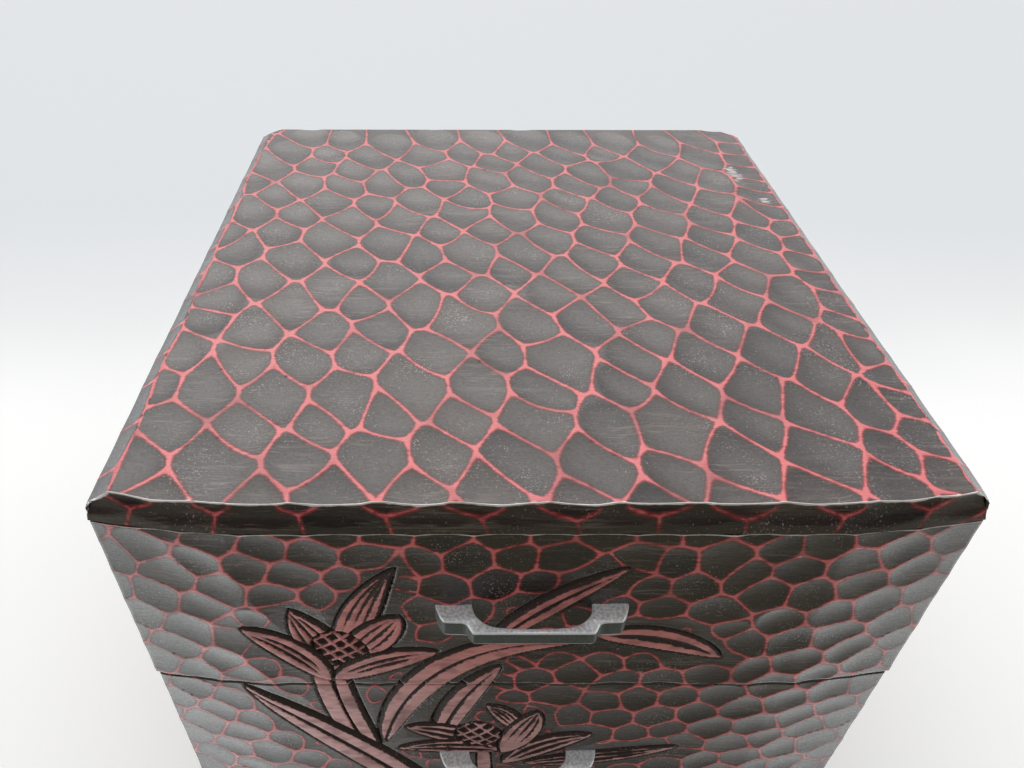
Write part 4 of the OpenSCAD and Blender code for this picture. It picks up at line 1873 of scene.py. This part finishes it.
def top_ground(rng: np.random.Generator, half: Point) -> Ground:
    """The round cuts of the top, and the long cuts that slope its side edges and back corners.

    The rows of sites lean to the right on their way to the front, and slow waves draw the sites about. Each
    stroke runs steeply down to the right, and its hollow is as much longer than wide as makes four ridges
    meet. Along the right edge the cuts are smaller.

    Args:
        rng: Source of the small differences between the cuts.
        half: Half width and half depth of the board.

    Returns:
        The carving, in X and Y.
    """
    depth, lean, wave, jitter, pitch = 0.85, 0.2, 2.6, 1.5, (16.3, 12.0)
    small_pitch, small_inset, small_jitter = 10.5, 6.5, 1.0
    clear_left, clear_right, clear_back, corner, corner_drop = 3.0, 11.0, 4.0, 5.0, 0.2
    across_r, along_r, heading_deg = 33.0, 68.0, -73.0
    sites = staggered((-160.0, -119.0), (160.0, 118.0), pitch)
    x, y = sites.T.copy()
    sites[:, 0] += wave * np.sin(2.0 * math.pi * (y / 115.0 + x / 400.0) + 0.9) - lean * y
    sites[:, 1] += wave * np.sin(2.0 * math.pi * (x / 90.0 - y / 260.0) + 2.0)
    sites += rng.normal(0.0, jitter, sites.shape)
    x, y = sites.T
    sites = sites[(x > clear_left - half[0]) & (x < half[0] - clear_right) & (y < half[1] - clear_back)]
    small = np.arange(-half[1], half[1], small_pitch)
    small = np.stack([np.full_like(small, half[0] - small_inset), small], -1)
    sites = np.concatenate([sites, small + rng.normal(0.0, small_jitter, small.shape)])
    count = len(sites)
    heading = math.radians(heading_deg) + rng.normal(0.0, 0.08, count)
    swell = np.exp(rng.normal(0.0, 0.16, count))
    cuts = CutField.strokes(sites, heading, across_r * swell, along_r * swell, rng.normal(0.0, 0.05, count),
                            rng.random(count))
    diagonal = math.sqrt(0.5)
    for side, drops in ((-1.0, (3.2, 1.4)), (1.0, (2.2, 1.0))):
        edge = side * half[0]
        cuts = cuts.joined(slope_cuts((edge, -half[1]), (edge, half[1]), (-side, 0.0), drops, rng))
        cuts = cuts.joined(slope_cuts((edge - side * corner, half[1]), (edge, half[1] - corner),
                                      (-side * diagonal, -diagonal), (corner_drop, corner_drop), rng))
    return Ground(cuts, Rubbing(0.34, 0.6, 2.6), depth)


def face_cuts(rng: np.random.Generator, low: Point, high: Point, lift: float = 0.25) -> CutField:
    """Round cuts of an upright face, in rows that climb towards both ends.

    Args:
        rng: Source of the small differences between the cuts.
        low: Lowest corner to cover.
        high: Highest corner to cover.
        lift: How steeply the rows climb beyond their level middle.

    Returns:
        The cuts.
    """
    pitch, level_half, jitter, across_r, along_r = (10.6, 9.1), 35.0, 1.05, 32.0, 37.0
    sites = staggered(low, high, pitch)
    sites[:, 1] += lift * np.maximum(np.abs(sites[:, 0]) - level_half, 0.0)
    sites += rng.normal(0.0, jitter, sites.shape)
    count = len(sites)
    heading = rng.uniform(0.0, math.pi, count)
    swell = np.exp(rng.normal(0.0, 0.14, count))
    return CutField.strokes(sites, heading, across_r * swell, along_r * swell, rng.normal(0.0, 0.04, count),
                            rng.random(count))


def spray_shapes() -> Spray:
    """The flowers, leaves and stalks on the fronts, from the rearmost to the foremost.

    Returns:
        The spray, in X and Z.
    """
    stalks = [
        Blade(MIDRIB, (-9.0, 102.0), (2.0, 117.5), (19.9, 129.5), 3.4, walls=(1.7, 0.3)),
        Blade(PLAIN, (-43.5, 56.0), (-49.0, 76.0), (-49.6, 93.0), 2.4, roundness=0.35, walls=(0.5, 0.5)),
        Blade(PLAIN, (-38.0, 54.0), (-44.0, 74.0), (-44.6, 93.0), 2.4, roundness=0.35, walls=(0.4, 1.2)),
        Blade(MIDRIB, (-21.5, 58.0), (-16.5, 80.0), (-6.0, 92.5), 4.2, 0.4, 1.0, (1.6, 0.4)),
        Blade(MIDRIB, (-36.0, 56.0), (-26.2, 104.8), (12.5, 102.4), 4.9, 0.42, 1.2, (1.2, 0.4)),
        Blade(PLAIN, (-5.0, 4.0), (-9.0, 28.0), (-9.5, 58.0), 2.2, roundness=0.35),
    ]
    upper_flower = [
        Blade(RAYS, (-45.0, 94.5), (-49.0, 104.0), (-53.4, 115.2), 5.2, 0.38, 1.3, (0.3, 1.2)),
        Blade(RAYS, (-41.8, 100.0), (-38.0, 117.0), (-29.3, 129.6), 4.7, widest=0.3, walls=(0.6, 1.2)),
        Blade(RAYS, (-41.5, 97.0), (-36.0, 102.5), (-29.2, 112.6), 5.4, 0.5, 1.2, (1.2, 1.0)),
        Pod((-43.6, 100.0), -55.0, 6.8, 5.6),
        Blade(SLITS, (-46.4, 87.2), (-34.0, 95.8), (-20.7, 98.6), 4.1, walls=(1.1, 0.3)),
        Blade(SLITS, (-46.8, 86.6), (-54.0, 101.0), (-65.5, 107.8), 4.2, walls=(0.3, 1.1)),
        Blade(LENS, (15.5, 105.2), (32.0, 106.0), (45.8, 96.0), 4.0, walls=(0.8, 0.4)),
    ]
    lower_flower = [
        Blade(DARK, (2.0, 44.0), (22.0, 46.0), (43.0, 52.9), 3.2, walls=(0.8, 0.3)),
        Blade(DARK, (-4.0, 44.0), (6.0, 56.0), (19.4, 59.5), 4.2, walls=(1.4, 0.3)),
        Blade(RAYS, (0.0, 62.0), (-3.0, 70.0), (-9.0, 74.4), 3.0, walls=(0.3, 0.9)),
        Blade(DARK, (-9.0, 55.0), (-19.0, 62.0), (-29.8, 63.6), 4.2, walls=(0.3, 1.1)),
        Blade(DARK, (-4.0, 51.5), (-18.0, 55.0), (-32.4, 52.2), 3.4, walls=(0.3, 1.1)),
        Blade(RAYS, (-4.5, 50.0), (2.0, 62.0), (4.2, 71.2), 4.6, walls=(0.9, 0.5)),
        Pod((-10.8, 59.4), -50.0, 6.3, 5.6),
        Blade(RIB, (-12.0, 10.0), (-38.0, 48.0), (-68.9, 83.6), 6.0, walls=(0.4, 2.0)),
    ]
    return Spray(stalks + upper_flower + lower_flower)


@dataclass
class Chest:
    """The chest: its carved boards, its pulls and the parts that keep their CAD form.

    Attributes:
        shared: The node groups of the finishes.
        seed: Seed of the small differences between the cuts.
        end_fall: How far the front falls back at its ends.
        cut_depth: Height of an upright face over the floors of its cuts.
        front_red: How the red shows on the fronts.
        side_red: How it shows on the side panels.
        front_span: Corners of the field of cuts on the fronts, in X and Z.
        side_span: Corners of the field of cuts on a side panel, in Y and Z.
        side_lift: How steeply the rows of cuts climb on the side panels.
        rim_highlight: How pale the lower and the upper edge of each front are painted, a painted highlight
            along them.
        cross_nodes: Boards of the boxes with their grain across the chest.
    """

    shared: Shared
    seed: int = 11
    end_fall: float = 3.7
    cut_depth: float = 0.6
    front_red: Rubbing = Rubbing(0.29, 0.45, 2.0)
    side_red: Rubbing = Rubbing(0.26, 0.45, 2.0)
    front_span: tuple[Point, Point] = ((-104.0, -4.0), (104.0, 146.0))
    side_span: tuple[Point, Point] = ((-104.0, -10.0), (108.0, 160.0))
    side_lift: float = 0.12
    rim_highlight: Sequence[tuple[Body, Point]] = ((Body.UPPER, (0.72, 0.95)), (Body.LOWER, (0.0, 0.1)))
    cross_nodes: Sequence[str] = ("upper_box_back", "upper_box_bottom", "lower_box_back", "lower_box_bottom")

    def build(self) -> None:
        """Build every piece and dress it."""
        rng = np.random.default_rng(self.seed)
        shared = self.shared
        lacquer, plain = CarvedLacquer(shared).material, PlainLacquer(shared).material
        low, high = node_box("top_board")
        plan = FrontPlan(low[1], high[0], self.end_fall)
        TopBoard(plan, top_ground(rng, (high[0], high[1])), rng).build(lacquer)
        cuts = face_cuts(rng, *self.front_span)
        ground = SprayGround(cuts, self.front_red, self.cut_depth, spray_shapes())
        metal = CastMetal(shared).material
        for drawer, wear_and_highlight in self.rim_highlight:
            stem = drawer.value.split("_")[0]
            DrawerFront(stem + "_front", drawer, plan, ground, wear_and_highlight).build(lacquer)
            Pull(stem + "_pull", drawer).build(metal)
        for node, side in (("left_side", -1), ("right_side", 1)):
            cuts = face_cuts(rng, *self.side_span, self.side_lift)
            SidePanel(node, Ground(cuts, self.side_red, self.cut_depth), side).build(lacquer)
        BaseBoard(plan, rng).build(plain)
        self.dress_rest(plain)

    def dress_rest(self, plain: bpy.types.Material) -> None:
        """Give the nodes that keep their CAD form their finishes.

        Args:
            plain: The plain lacquer.
        """
        shared = self.shared
        wood, cross = BoxWood(shared).material, CrossWood(shared).material
        peg, steel = PegWood(shared).material, ScrewSteel(shared).material
        rules = (("_pegs", peg, Slot.PEG), ("_dowels", peg, Slot.PEG), ("_screws", steel, Slot.SCREW),
                 ("_washers", steel, Slot.SCREW), ("_box_", wood, Slot.BOX),
                 ("back_panel", plain, Slot.PLAIN), ("divider", plain, Slot.PLAIN))
        for node, piece in sorted(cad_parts.items()):
            rule = next((r for r in rules if r[0] in node), None)
            if piece.hide_render or rule is None:
                continue
            piece.data.materials.clear()
            piece.data.materials.append(cross if node in self.cross_nodes else rule[1])


def main() -> None:
    """Build the chest and set the stage."""
    logging.basicConfig(level=logging.INFO, format="%(name)s: %(message)s")
    shared = Shared(grain_group(), speck_group())
    Chest(shared).build()
    Studio(Pose()).build(PaleFloor(shared).material, FrontCard(shared).material)


if __name__ == "__main__":
    main()
